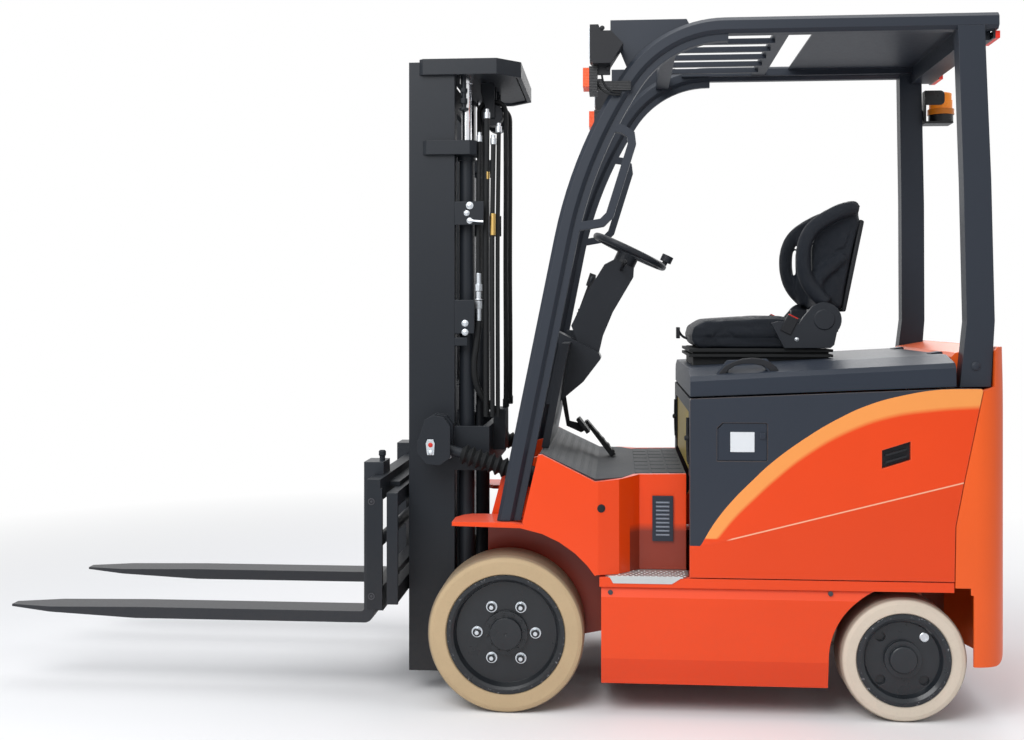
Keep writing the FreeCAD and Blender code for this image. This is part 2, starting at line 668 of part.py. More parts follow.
def make_side_panels():
    """Covers of the battery bay, each with a recessed grip and an opening for the charge flap."""
    for side, sign in (("left", -1), ("right", 1)):
        body = new_body("side_panel_" + side)
        low, high = sorted((sign * d.body_half, sign * (d.body_half - 34)), key=number)
        slab(body, "XZ", [
            (d.cowl_edge + 3, d.sill_top + 1), (d.tail_line - 3, d.sill_top + 1),
            (d.tail_line, 653), (d.tail_line + 27, 798), (d.tail_line + 89, 1100),
            (d.tail_line + 84, 1108), (d.tail_line + 8, d.lid_rear_low - 6),
            (d.cowl_edge + 8, d.lid_front_low - 6), (d.cowl_edge + 3, d.lid_front_low - 10)],
            low, high)
        cut_low, cut_high = sorted((sign * (d.body_half + 5), sign * (d.body_half - 14)), key=number)
        slab(body, "XZ", [(1250, 842), (1343, 872), (1343, 933), (1250, 903)],
             cut_low, cut_high, cut=True)
        if sign < 0:
            cut_low, cut_high = SIDE - 5, SIDE + 12
            slab(body, "XZ", flap_outline(0), cut_low, cut_high, cut=True)
            slab(body, "XZ", flap_outline(12), SIDE, SIDE + 40, cut=True)
        keep(body, "side_panel_" + side)


def make_flap():
    """Charge flap, hinged on its front edge, with a small latch."""
    body = new_body("charge_flap")
    slab(body, "XZ", flap_outline(d.flap_gap, 21), SIDE + 2, SIDE + 11.7)
    latch = d.flap_x + d.flap_long - 24
    slab(body, "XZ", box(latch, latch + 18, d.flap_low + 75, d.flap_low + 93), SIDE - 3, SIDE + 3)
    disc(body, "XY", (d.flap_x + d.seat_gap + d.flap_pin, SIDE + d.flap_pin), d.flap_pin,
         d.flap_low + d.flap_gap, d.flap_low + d.flap_tall - 20)
    keep(body, "charge_flap")


def make_battery():
    body = new_body("battery")
    slab(body, "XZ", box(d.cowl_edge + 60, REAR_X - d.sweep - 30,
                         d.skirt_low + 12 + d.seat_gap, 1030),
         SIDE + d.battery_room, -SIDE - d.battery_room)
    keep(body, "battery")


def make_bay_front():
    """Front wall of the battery bay: side posts, cover plate and cross bar."""
    body = new_body("bay_front")
    x = d.cowl_edge
    low, top, half = d.floor_top + 8.3, d.lid_front_low - 10, d.body_half - 34.3
    slab(body, "YZ", box(-half + 16, half - 16, low, top), x + 14, x + 34)
    for y in (-half, half - 60):
        slab(body, "YZ", box(y, y + 60, low, top), x + 4, x + 34)
    slab(body, "YZ", box(-half, half, top - 46, top), x + 4, x + 34)
    keep(body, "bay_front")


def make_counterweight():
    """Cast counterweight: rounded rear corners, wheel arches, tow slot and pin."""
    body = new_body("counterweight")
    rear = d.rear_reach
    slab(body, "XZ", [
        (d.tail_line, d.sill_top - 25), (d.tail_line + 3, 653), (d.tail_line + 30, 798),
        (d.tail_line + 92, 1100), (d.tail_line + 130, 1112), (d.tail_line + 134, d.weight_top - 12),
        (d.tail_line + 146, d.weight_top), (rear - 16, d.weight_top), (rear - 8, 1100),
        (rear, 900), (rear, 520), (rear - 8, d.weight_low, 40),
        (d.tail_line + 60, d.weight_low), (d.tail_line + 60, d.sill_top - 45)],
        SIDE, -SIDE)
    corner = 110
    for sign in (-1, 1):
        slab(body, "XY", [
            (rear + 20, sign * (d.body_half + 20)), (rear - corner - 40, sign * (d.body_half + 20)),
            (rear - corner - 40, sign * d.body_half), (rear, sign * d.body_half, corner),
            (rear, sign * (d.body_half - corner - 40)),
            (rear + 20, sign * (d.body_half - corner - 40))],
            d.weight_low - 20, d.weight_top + 20, cut=True)
    slab(body, "XZ", [(d.tail_line + 12, 1116), (d.tail_line + 150, 1116),
                      (d.tail_line + 150, d.weight_top), (d.tail_line + 26, d.weight_top - 22),
                      (d.tail_line + 12, d.weight_top - 36)],
         -d.guard_half + 84, d.guard_half - 84)
    for sign in (-1, 1):
        disc(body, "XY", (REAR_X, sign * d.king_half), d.sweep, d.weight_low - 10,
             d.sill_top - 20, cut=True)
    slab(body, "YZ", box(-60, 60, 470, 545), rear - 110, rear + 10, cut=True)
    disc(body, "XY", (rear - 55, 0), 14, 440, 600)
    keep(body, "counterweight")


# Hood and seat

def lid_section(low, edge, inset, open_low):
    """Half-symmetric section of the hood: upright sides, a bevelled shoulder, a flat crown."""
    side = d.body_half - 8 - inset
    low = low - open_low
    edge = edge - inset
    crown = edge + d.lid_crown
    return [(-side, low), (side, low), (side, edge - 16), (side - 18, edge), (side - 130, crown),
            (-side + 130, crown), (-side + 18, edge), (-side, edge - 16)]


def loft(body, plane, sections, cut=False):
    """A straight-sided loft through outlines, each with its place along the plane's axis."""
    sketches = []
    for place, points in sections:
        sketch = new_sketch(body, plane, place)
        draw_outline(sketch, points)
        sketches.append(sketch)
    kind = "PartDesign::SubtractiveLoft" if cut else "PartDesign::AdditiveLoft"
    feature = body.newObject(kind, body.Name + "_loft")
    feature.Profile = sketches[0]
    feature.Sections = sketches[1:]
    feature.Ruled = True
    return feature


def make_hood():
    """Hollow lid over the battery bay, with a loop handle on its left shoulder."""
    body = new_body("hood")
    front, rear = d.cowl_edge + 5, d.tail_line + 5
    loft(body, "YZ", [(front, lid_section(d.lid_front_low, d.lid_front_edge, 0, 0)),
                      (rear, lid_section(d.lid_rear_low, d.lid_rear_edge, 0, 0))])
    wall = d.lid_wall
    loft(body, "YZ", [(front + wall, lid_section(d.lid_front_low, d.lid_front_edge, wall, 40)),
                      (rear - wall, lid_section(d.lid_rear_low, d.lid_rear_edge, wall, 40))],
         cut=True)
    y = SIDE + 42
    slab(body, "XZ", [(700, 1140), (728, 1140), (760, 1178), (862, 1184), (895, 1150), (922, 1150),
                      (880, 1203), (748, 1197)], y, y + 26)
    hinge_x, hinge_z = rear + 4, 1218
    for low, high in ((-320, -260), (260, 320)):
        slab(body, "XZ", [(rear - 30, 1214), (hinge_x, hinge_z - 6), (hinge_x, hinge_z + 6),
                          (rear - 30, hinge_z)], low, high)
        disc(body, "XZ", (hinge_x, hinge_z), 6, low, high)
    keep(body, "hood")


def make_seat():
    """Seat: bellows base on the hood, cushion and backrest with side wings."""
    base = new_body("seat_base")
    slab(base, "XZ", [(650, 1168.9), (1130, 1195.9), (1130, 1230), (650, 1230)], -225, 225)
    for z in (1200, 1218):
        slab(base, "XZ", box(634, 1142, z, z + 10), -245, 245)
    keep(base, "seat_base")
    cushion = new_body("seat_cushion")
    cover = slab(cushion, "XZ", [(632, 1258), (650, 1230.3), (1120, 1230.3), (1150, 1256),
                                 (1100, 1330), (960, 1352), (900, 1348), (680, 1334),
                                 (642, 1310)], -240, 240)
    soften(cushion, cover, 12, lambda e: abs(abs(e.Vertexes[0].Y) - 240) < 1
           and abs(abs(e.Vertexes[-1].Y) - 240) < 1 and not along(e, Y_AXIS))
    keep(cushion, "seat_cushion")
    back = new_body("seat_back")
    slab(back, "XZ", [(1108, 1338), (1156, 1262.3), (1180, 1330), (1252, 1690), (1240, 1740),
                      (1205, 1758), (1160, 1735), (1120, 1560)], -235, 235)
    for sign in (-1, 1):
        low, high = sorted((sign * 200, sign * 245))
        slab(back, "XZ", [(1060, 1480), (1016, 1560), (1030, 1660), (1100, 1712), (1180, 1735),
                          (1150, 1500), (1120, 1440)], low, high)
        slab(back, "XZ", [(1040, 1400), (1046, 1206), (1136, 1206), (1190, 1330),
                          (1180, 1420), (1110, 1460)], *sorted((sign * 245.3, sign * 268)))
        slab(back, "XZ", box(1110, 1160, 1370, 1430), *sorted((sign * 225, sign * 250)))
    keep(back, "seat_back")


# Overhead guard

LEG_ANGLE, TURN_ANGLE = math.radians(11.34), math.radians(33)
d.bend_low_r = 1600 - d.guard_deep / 2
d.bend_high_r = 425 - d.guard_deep / 2
d.leg_x = d.guard_deep / 2 - 51
d.leg_z = d.fender_top - 100
d.bend_z = (d.roof_top - d.guard_deep / 2
            - d.bend_low_r * (math.sin(TURN_ANGLE) - math.sin(LEG_ANGLE))
            - d.bend_high_r * (1 - math.sin(TURN_ANGLE)))
d.bend_x = d.leg_x + (d.bend_z - d.leg_z) * math.tan(LEG_ANGLE)


def guard_spine(sketch, top, end):
    """Centre line of a guard tube: leg, two arcs that tighten upward, and the roof rail."""
    r1, r2 = number(d.bend_low_r), number(d.bend_high_r)
    a0, a1 = LEG_ANGLE, TURN_ANGLE
    p0 = Vector(number(d.leg_x), number(d.leg_z), 0)
    p1 = Vector(number(d.bend_x), number(d.bend_z), 0)
    c1 = p1 + Vector(r1 * math.cos(a0), -r1 * math.sin(a0), 0)
    p2 = c1 + Vector(-r1 * math.cos(a1), r1 * math.sin(a1), 0)
    c2 = p2 + Vector(r2 * math.cos(a1), -r2 * math.sin(a1), 0)
    p3 = c2 + Vector(0, r2, 0)
    p4 = Vector(number(end), number(top), 0)
    sketch.addGeometry(Part.LineSegment(p0, p1), False)
    sketch.addGeometry(Part.Arc(p1, middle(c1, p1, p2), p2), False)
    sketch.addGeometry(Part.Arc(p2, middle(c2, p2, p3), p3), False)
    sketch.addGeometry(Part.LineSegment(p3, p4), False)
    return p3.x


def sweep(body, spine, place, outline):
    """Run an outline, drawn square to X at the spine's rear end, along the spine."""
    profile = new_sketch(body, "YZ", place)
    draw_outline(profile, outline)
    pipe = body.newObject("PartDesign::AdditivePipe", spine.Name + "_pipe")
    pipe.Profile = profile
    pipe.Spine = spine
    pipe.Transition = "Right corner"
    return pipe


def ribbon(points, wide):
    """Outline of a bar of even width along a bent centre line."""
    spots = [Vector(x, y, 0) for x, y in points]
    steps = [(b - a).normalize() for a, b in zip(spots, spots[1:])]
    steps = [steps[0]] + steps + [steps[-1]]
    left, right = [], []
    for spot, came, goes in zip(spots, steps, steps[1:]):
        across = Vector(-came.y - goes.y, came.x + goes.x, 0).normalize()
        reach = wide / 2 / across.dot(Vector(-came.y, came.x, 0))
        left.append((spot.x + across.x * reach, spot.y + across.y * reach))
        right.append((spot.x - across.x * reach, spot.y - across.y * reach))
    return left + right[::-1]


def ribbon_at(x, z, points, wide):
    """A bent bar's outline, moved to a named place."""
    return [(x + u, z + v) for u, v in ribbon(points, wide)]


def middle(centre, start, end):
    """The point halfway along the short arc between two points round a centre."""
    half = (start - centre) + (end - centre)
    half.normalize()
    return centre + half * (start - centre).Length


LEAN = math.sin(math.radians(number(d.guard_lean)))


def make_guard():
    """Two leaning side frames: a bent tube with an inner flange, a pillar and a grab handle."""
    deep, wide = number(d.guard_deep), number(d.guard_wide)
    path = new_body("guard_tube")
    top = number(d.roof_top)
    spine = new_sketch(path, "XZ", 0)
    end_x = d.tail_line + 165
    curve_end = guard_spine(spine, d.roof_top - deep / 2, end_x)
    sweep(path, spine, end_x, [
        (-wide / 2, top - deep + 12), (-wide / 2 + 12, top - deep), (wide / 2 - 12, top - deep),
        (wide / 2, top - deep + 12), (wide / 2, top - 14), (wide / 2 - 14, top),
        (-wide / 2 + 14, top), (-wide / 2, top - 14)])
    flange = new_sketch(path, "XZ", 0)
    guard_spine(flange, d.roof_top - deep / 2, curve_end + 10)
    sweep(path, flange, curve_end + 10, box(-14, 14, top - deep - 24, top - deep + 6))
    slab(path, "XZ", box(-200, 200, d.fender_top - 200, d.fender_top + 1.5), -60, 60, cut=True)
    tail, roof, x, z = d.tail_line, d.roof_top, d.bend_x, d.bend_z
    slab(path, "XZ", [(tail + 23, 1110), (tail + 123, 1112.3), (tail + 138, 1330),
                      (tail + 132, 1800), (tail + 117, roof - 46), (tail + 30, roof - 46),
                      (tail + 42, 1800), (tail + 48, 1330)], -wide / 2, wide / 2)
    slab(path, "XZ", [(x + 164, roof), (x + 425, roof), (x + 440, roof - 30), (x + 354, roof - 62),
                      (x + 276, roof - 130), (x + 219, roof - 160), (x + 199, roof - 111),
                      (x + 164, roof - 50)], -6, 6)
    slab(path, "XZ", ribbon_at(x, z, [(144, 388), (206, 378), (234, 358), (238, 326), (162, 82),
                                      (136, 56), (54, 42)], 28), -14, 14)
    turn = Rotation(X_AXIS, -number(d.guard_lean))
    base_y = -(d.guard_half - d.guard_wide / 2) - d.fender_top * LEAN
    base_z = d.fender_top * (1 - math.cos(math.radians(number(d.guard_lean))))
    place_at(path, 0, base_y, base_z, turn)
    return keep(both_sides("guard_piece", [path]), "guard_sides")


def guard_y(z):
    """Middle of the left guard frame at a height, on its lean."""
    return (z - d.fender_top) * LEAN - (d.guard_half - d.guard_wide / 2)


def make_roof():
    """Roof between the side frames: cross tubes, slats and the closed rear panel."""
    top = d.roof_top
    reach = -guard_y(top - 30) - d.guard_wide / 2 - 2
    body = new_body("guard_roof")
    start = d.bend_x + 345
    slab(body, "XZ", box(start, start + 50, top - 92, top - 46), -reach, reach)
    slab(body, "XZ", box(920, 974, top - 42, top - 30), -reach, reach)
    slab(body, "XZ", box(1068, 1590, top - 22, top - 16), -reach, reach)
    slab(body, "XZ", box(1560, 1640, top - 84, top - 4), -reach - 1.1, reach + 1.1)
    for sign in (-1, 1):
        low, high = sorted((sign * (reach - 24), sign * reach), key=number)
        slab(body, "XZ", box(start + 105, 1600, top - 44, top - 16), low, high)
    slats = 5
    pitch = 2 * reach / (slats + 1)
    for i in range(slats):
        y = -reach + pitch * (i + 1)
        slab(body, "XZ", box(start + 5, 935, top - 54, top - 36), y - 10, y + 10)
    keep(body, "guard_roof")


def make_lamps():
    """Work lamps, turn lamps and tail lamps on the guard, and the beacon on its right pillar."""
    x, z = d.bend_x, d.roof_top - 32
    lamp = new_body("work_lamp")
    slab(lamp, "XZ", [(x + 95, z - 3), (x + 95, z - 121), (x + 106, z - 134), (x + 166, z - 134),
                      (x + 208, z - 68), (x + 166, z - 24), (x + 132, z - 24), (x + 124, z - 3)],
         -d.guard_half, -d.guard_half + 84)
    slab(lamp, "XZ", box(x + 120.3, x + 164, z - 166, z - 132), -d.guard_half + 35,
         -d.guard_half + 49)
    keep(both_sides("work_lamps", [lamp]), "head_lamps")
    turn = new_body("turn_lamp")
    inner, outer = -d.guard_half + 125, -d.guard_half + 25
    slab(turn, "XZ", box(x + 71, x + 92, z - 208, z - 144), outer, inner)
    slab(turn, "XZ", box(x + 92, x + 120, z - 226, z - 139), outer, inner)
    slab(turn, "XZ", box(x + 120, x + 234, z - 218, z - 186), outer + 23, outer + 31)
    tail = new_body("tail_lamp")
    slab(tail, "XZ", box(d.tail_line + 153.3, d.tail_line + 176, z - 51, z - 27),
         -d.guard_half + 95, -d.guard_half + 225)
    keep(both_sides("signal_lamps_piece", [turn, tail]), "signal_lamps")
    beacon = new_body("beacon_lamp")
    y = d.guard_half - 95
    x, z = d.beacon_reach - 52.5, d.roof_top - 43
    turned(beacon, [(0, z - 195), (49, z - 195), (49, z - 165), (52.5, z - 163), (52.5, z - 141),
                    (46, z - 139), (46, z - 106), (43, z - 104), (43, z - 79), (40, z - 76),
                    (0, z - 76)], "XZ")
    place_at(beacon, x, y, 0)
    guard = new_body("beacon_guard")
    slab(guard, "XZ", box(x - 76, x + 36, z - 203, z - 194), y - 50, y + 30)
    slab(guard, "XZ", box(x - 76, x - 71, z - 203, z - 72), y - 56, y - 10)
    slab(guard, "XZ", [(x - 76, z - 130), (x + 1, z - 130, 18), (x + 1, z - 72, 18),
                       (x - 76, z - 72)], y - 57, y - 53)
    slab(guard, "XZ", box(d.tail_line + 122.6, x - 71, z - 185, z - 146), y - 16, y - 10)
    keep(join("beacon_piece", [beacon, guard]), "beacon")


# Operator's controls

def make_console():
    """Steering column cover over the dash cover, both hollow shells seen from outside."""
    body = new_body("console")
    slab(body, "XZ", [(110, d.toe_top + 3.3), (136, d.toe_top + 3.3), (208, 1250), (182, 1250)],
         -d.mast_half - 5, d.mast_half + 5)
    slab(body, "XZ", [(152, 1290), (232, 1249), (308, 1209), (318, 1188, 10), (251, 1100, 20),
                      (152, 1017), (112, 1017), (160, 1240)], -95, 95)
    slab(body, "XZ", [(330, 1540), (367.7, 1559.4), (439.9, 1524.9), (438, 1492), (361, 1361), (323, 1270),
                      (308, 1205), (232, 1240), (205, 1310), (268, 1440)], -62, 62)
    slab(body, "XZ", [(180, 1290), (262, 1290), (300, 1222), (262, 1150), (170, 1180)], 95, 235)
    keep(body, "dash_console")


def make_controls():
    """Four hydraulic levers with bellows on the right of the column, brake and drive pedals."""
    levers = new_body("levers")
    for y in (112, 148, 184, 220):
        for step, radius in enumerate((24, 17, 21, 14, 17, 10)):
            disc(levers, "XY", (232, y), radius * 0.7, 1290 + step * 14, 1290 + step * 14 + 14)
        slab(levers, "XZ", [(228, 1370), (240, 1370), (276, 1470), (266, 1474)], y - 5, y + 5)
        slab(levers, "XZ", [(256, 1466), (280, 1460), (294, 1506), (272, 1514)], y - 11, y + 11)
    brake = new_body("brake_pedal")
    slab(brake, "XZ", [(165, 1027.4), (184, 925), (240, 900), (262, 912), (256, 930),
                       (196, 944), (181, 1040.8)], 30, 44)
    slab(brake, "XZ", [(222, 950), (262, 898), (274, 906), (234, 958)], -10, 84)
    drive = new_body("drive_pedal")
    slab(drive, "XZ", [(250, 932), (262, 936), (372, 806), (352, 796.7)], 130, 200)
    keep(join("controls_piece", [levers, brake, drive]), "controls")


WHEEL_X, WHEEL_Z, WHEEL_TILT = 424.5, 1590, 25.6


def make_steering_wheel():
    """Steering wheel with three spokes, a hub and a spinner knob on the rim."""
    body = new_body("steering_wheel")
    ring = new_sketch(body, "XZ", 0)
    draw_circle(ring, (138, 0), 13)
    torus = body.newObject("PartDesign::Revolution", "wheel_rim")
    torus.Profile = ring
    torus.ReferenceAxis = (ring, ["V_Axis"])
    torus.Angle = 360
    disc(body, "XY", (0, 0), 42, -51.7, -12)
    for angle in (90, 210, 330):
        turn = math.radians(angle)
        c, s = math.cos(turn), math.sin(turn)
        slab(body, "XY", [(20 * c - 13 * s, 20 * s + 13 * c), (20 * c + 13 * s, 20 * s - 13 * c),
                          (136 * c + 10 * s, 136 * s - 10 * c), (136 * c - 10 * s, 136 * s + 10 * c)],
             -18, -6)
    disc(body, "XY", (138, 0), 10, 10, 22)
    disc(body, "XY", (138, 0), 22, 22, 48)
    body.Placement = Placement(Vector(WHEEL_X, 0, WHEEL_Z), Rotation(Y_AXIS, WHEEL_TILT))
    keep(body, "steering_wheel")


# Mast

MAST_BACK = d.mast_front + d.mast_deep
ROD_X, ROD_Y = -165, 65 - d.mast_half
HOSE_X, HOSE_Z = -89, d.mast_top - 155
EYE_X, EYE_Z, HEEL_X, HEEL_Z = -271, 897, 330, 704


def channel(x0, x1, y0, y1, web, flange):
    """Section of a channel that opens towards the middle of the truck."""
    return [(x0, y0), (x1, y0), (x1, y1), (x1 - flange, y1), (x1 - flange, y0 + web),
            (x0 + flange, y0 + web), (x0 + flange, y1), (x0, y1)]


def make_outer_mast():
    """Outer stage: two channels, ties, cylinder seats, tilt ears and pin brackets."""
    rail = new_body("outer_rail")
    half = d.mast_half
    slab(rail, "XY", channel(d.mast_front, MAST_BACK, -half, -half + d.mast_lip, d.mast_web,
                             d.mast_flange), d.mast_low, d.mast_top)
    gusset = new_body("mast_side_pieces")
    clamp = d.mast_top - 331
    slab(gusset, "XY", [(-314, -half), (-314, -half - 2), (-300, -half - 15), (-145, -half - 15),
                        (-122, 4 - half), (-122, 105 - half), (MAST_BACK, 105 - half),
                        (MAST_BACK, -half)], clamp, clamp + 50)
    disc(gusset, "XY", (ROD_X, ROD_Y), 33 + d.seat_gap, clamp - 22, clamp + 58, cut=True)
    slab(gusset, "XZ", box(MAST_BACK, -131, 300, 316), -half, 98 - half)
    slab(gusset, "XZ", box(MAST_BACK, -76, 797, 954), -half, -half + 16)
    slab(gusset, "XZ", box(MAST_BACK, -110, 92, 112), -half, 98 - half)
    slab(gusset, "XZ", [(MAST_BACK, 190), (MAST_BACK, 350), (d.tilt_x, d.tilt_z + 36),
                        (d.tilt_x + 32, d.tilt_z + 14), (d.tilt_x + 32, d.tilt_z - 14),
                        (d.tilt_x, d.tilt_z - 34)], -half, -half + 24)
    disc(gusset, "XZ", (d.tilt_x, d.tilt_z), d.tilt_pin_r + 0.05, -half - 5, -half + 30, cut=True)
    ears = [(-318, 905), (-292, 985), (-264, 1000), (-226, 994), (-203, 962), (-203, 852),
            (-240, 826), (-286, 830), (-318, 868)]
    ear = new_body("tilt_ear")
    slab(ear, "XZ", ears, -half - 34, -half)
    slab(ear, "XZ", ears, -half - 104, -half - 86)
    slab(ear, "XZ", box(-318, -306, 862, 912), -half - 100, -half)
    disc(ear, "XZ", (EYE_X, EYE_Z), 15, -half - 100, -half)
    cross = new_body("mast_ties")
    back = [(-327, -half - 1), (-312, -half - 16), (-49, -half - 16), (32, 68 - half)]
    front = [(17, 74 - half), (-56, -half), (-327, -half)]
    slab(cross, "XY", back + [(x, -y) for x, y in reversed(back)]
         + [(x, -y) for x, y in reversed(front)] + front, d.mast_top - 47, d.mast_top + 9)
    plate = new_body("rear_plate")
    slab(plate, "XZ", box(-100, -76, 797, 954), -half, half)
    foot = new_body("foot_plate")
    slab(foot, "XZ", box(-130, -110, 92, 190), -half + 24, half - 24)
    tray = new_body("junction_box")
    slab(tray, "XZ", box(-76, -32, 856, 1005), -190, -60)
    pieces = [cross, plate, foot, tray]
    for piece in (rail, gusset, ear):
        pieces += [piece, mirror(piece, piece.Name + "_twin")]
    keep(join("outer_piece", pieces), "outer_mast")


def make_lift_barrels():
    barrel = new_body("barrel")
    top = d.mast_top - 297
    disc(barrel, "XY", (ROD_X, ROD_Y), 28, 316 + d.seat_gap, top)
    disc(barrel, "XY", (ROD_X, ROD_Y), 33, top - 50, top - 6)
    disc(barrel, "XY", (ROD_X, ROD_Y), 20, 346, top + 4, cut=True)
    keep(both_sides("barrels", [barrel]), "lift_barrels")


def make_inner_mast():
    """Inner stage: channels, cross plates, free-lift cylinder and the hose pulley."""
    half = d.inner_half
    x0, x1 = d.mast_front + d.mast_flange + d.gap, MAST_BACK - d.mast_flange - d.gap
    top, low = d.mast_top - 13, 120
    rail = new_body("inner_rail")
    slab(rail, "XY", channel(x0, x1, -half, -half + 68, 14, 14), low, top)
    inside = -half + 68
    pieces = [rail, mirror(rail, "inner_rail_twin")]
    for z0, z1 in ((150, 240), (1000, 1090), (top - 150, top - 60)):
        plate = new_body("inner_plate")
        slab(plate, "XZ", box(x1, x1 + 18, z0, z1), inside - 14, 14 - inside)
        pieces.append(plate)
    head = new_body("rod_head")
    slab(head, "XY", [(x1, 58 - half), (-194, 58 - half), (-194, 18 - half), (-138, 18 - half),
                      (-138, half - 18), (-194, half - 18), (-194, half - 58), (x1, half - 58)],
         top - 26.7, top - 5)
    free = new_body("free_barrel")
    disc(free, "XY", (-285, 0), 40, 150, 1180)
    slab(free, "XY", box(-300, x1, -60, 60), 150, 172)
    slab(free, "XY", box(-262, -226, -92, 92), 1076, 1100)
    disc(free, "XY", (-285, 0), 26, 200, 1190, cut=True)
    bracket = new_body("pulley")
    for y in (-118, -52, 52, 118):
        slab(bracket, "XZ", [(-130, top - 26), (-130, top - 60), (-100, HOSE_Z - 12),
                             (-78, HOSE_Z - 12), (-78, top - 26)], y - 4, y + 4)
    slab(bracket, "XZ", box(-138, -76, top - 26.7, top - 5), -124, 124)
    for y in (-85, 85):
        disc(bracket, "XZ", (HOSE_X, HOSE_Z), 40, y - 26, y + 26)
        disc(bracket, "XZ", (HOSE_X, HOSE_Z), 10, y - 34, y + 34)
    keep(join("inner_piece", pieces + [head, free, bracket]), "inner_mast")


def make_lift_rods():
    rod = new_body("rod")
    top = d.mast_top - 39.7
    disc(rod, "XY", (ROD_X, ROD_Y), 18, 352, top - 1.3)
    disc(rod, "XY", (ROD_X, ROD_Y), 24, top - 28.3, top)
    keep(both_sides("rods", [rod]), "lift_rods")


def make_free_head():
    """Head of the free-lift cylinder: rod, crosshead and the two chain sheaves."""
    body = new_body("free_head")
    z = 1370
    disc(body, "XY", (-285, 0), 25, 330, z - 30)
    slab(body, "XZ", box(-312, -258, z - 50, z + 30), -44, 44)
    disc(body, "XZ", (-285, z), 12, -92, 92)
    for y in (-71, 71):
        disc(body, "XZ", (-285, z), 41.7, y - 15, y + 15)
    keep(body, "free_lift_head")


def make_chains():
    """Two lift chains: from the free-lift barrel over the sheaves and down to the carriage."""
    pieces = []
    z, r = 1370, 42
    for y in (-71, 71):
        body = new_body("chain")
        slab(body, "XZ", box(-285 - r - 12, -285 - r, 432.3, z), y - 11, y + 11)
        slab(body, "XZ", box(-285 + r, -285 + r + 12, 1100.3, z), y - 11, y + 11)
        disc(body, "XZ", (-285, z), r + 12, y - 11, y + 11)
        disc(body, "XZ", (-285, z), r, y - 12, y + 12, cut=True)
        slab(body, "XZ", box(-285 - r, -285 + r, z - 70, z), y - 12, y + 12, cut=True)
        pieces.append(body)
    keep(join("chains", pieces), "lift_chains")


def make_hoses():
    """Two pairs of hoses from the junction box over the pulley and down the mast."""
    pieces = []
    for y in (-97, -73, 73, 97):
        body = new_body("hose")
        spine = new_sketch(body, "XZ", y)
        x, z, r = HOSE_X, number(HOSE_Z), 50
        low_rear, low_front = 1005.3, 1300
        spine.addGeometry(Part.LineSegment(Vector(x + r, low_rear, 0), Vector(x + r, z, 0)), False)
        spine.addGeometry(Part.Arc(Vector(x + r, z, 0), Vector(x, z + r, 0), Vector(x - r, z, 0)),
                          False)
        spine.addGeometry(Part.LineSegment(Vector(x - r, z, 0), Vector(x - r, low_front, 0)), False)
        ring = new_sketch(body, "XY", low_rear)
        draw_circle(ring, (x + r, y), 9)
        pipe = body.newObject("PartDesign::AdditivePipe", "hose_pipe")
        pipe.Profile = ring
        pipe.Spine = spine
        pieces.append(body)
    keep(join("hoses", pieces), "mast_hoses")


def make_carriage():
    """Carriage: side plates with rollers in the inner rails, two bars and end plates."""
    body = new_body("carriage_bars")
    half = d.carriage_half
    for z0, z1 in ((690, 740), (358, 412)):
        slab(body, "XZ", box(-410, -376, z0, z1), -half, half)
    slab(body, "XZ", box(-376, -330, 412, 432), -95, 95)
    slab(body, "XZ", box(-376, -360, 380, 720), -100, 100)
    for y in (-200, 150):
        slab(body, "XZ", box(-431.7, -410, 365, 400), y, y + 50)
    side = new_body("carriage_side")
    plate = 73 - d.inner_half
    slab(side, "XZ", [(-376, 350), (-262, 380), (-232, 410), (-232, 730), (-262, 756),
                      (-376, 750)], plate, plate + 20)
    for z in (430, 690):
        disc(side, "XZ", (-283, z), 38, plate - 54, plate + 1)
    end = new_body("carriage_end")
    slab(end, "XZ", box(-410, -372, 358, 740), -half, -half + 16)
    pieces = [body]
    for piece in (side, end):
        pieces += [piece, mirror(piece, piece.Name + "_twin")]
    keep(join("carriage_piece", pieces), "carriage")


def make_shifter():
    """Side-shift frame: fork bars, end plates and the shift cylinder."""
    body = new_body("shifter")
    half = d.carriage_half
    back, front = -432, d.shank_front + 38 + d.seat_gap
    slab(body, "XZ", box(front, back, d.bar_top - 76, d.bar_top), -half, half)
    slab(body, "XZ", box(front, back, 340, 410), -half, half)
    slab(body, "XZ", [(back, d.bar_top - 30), (-396, d.bar_top - 30), (-396, 740.3), (back, 740.3)],
         -340, 340)
    for y in (-half, half - 18):
        slab(body, "XZ", box(front - 2, -426, 339, 754), y, y + 18)
    disc(body, "XZ", (-446, 566), 20, -half, half)
    keep(body, "sideshift_frame")


def make_forks():
    """Two forks: a tapered blade, a bent heel and a shank hooked over the bars."""
    fork = new_body("fork")
    front, thick, low = d.shank_front, d.fork_thick, d.fork_low
    back = front + 38
    slab(fork, "XZ", [
        (-d.fork_reach, low + 25), (-1350, low), (back - 6, low, 34), (back, low + 80),
        (back, 830), (front, 830), (front, low + thick, 12), (-1350, low + thick),
        (-d.fork_reach, low + 33)], -d.fork_out, -d.fork_out + d.fork_wide)
    slab(fork, "XZ", box(back - 1, -446, d.bar_top + 0.3, 830), -d.fork_out, -d.fork_out + d.fork_wide)
    slab(fork, "XZ", box(back - 1, -452, 300, 339.7), -d.fork_out + 20,
         -d.fork_out + d.fork_wide - 20)
    for sign, y in ((-1, -d.fork_out), (1, -d.fork_out + d.fork_wide)):
        slab(fork, "XY", [(-d.fork_reach - 5, y + sign * 5), (-d.fork_reach - 5, y - sign * 38),
                          (-d.fork_reach, y - sign * 38), (-d.fork_reach + 160, y),
                          (-d.fork_reach + 160, y + sign * 5)], low - 20, low + 60, cut=True)
    keep(both_sides("fork_pair", [fork]), "forks")


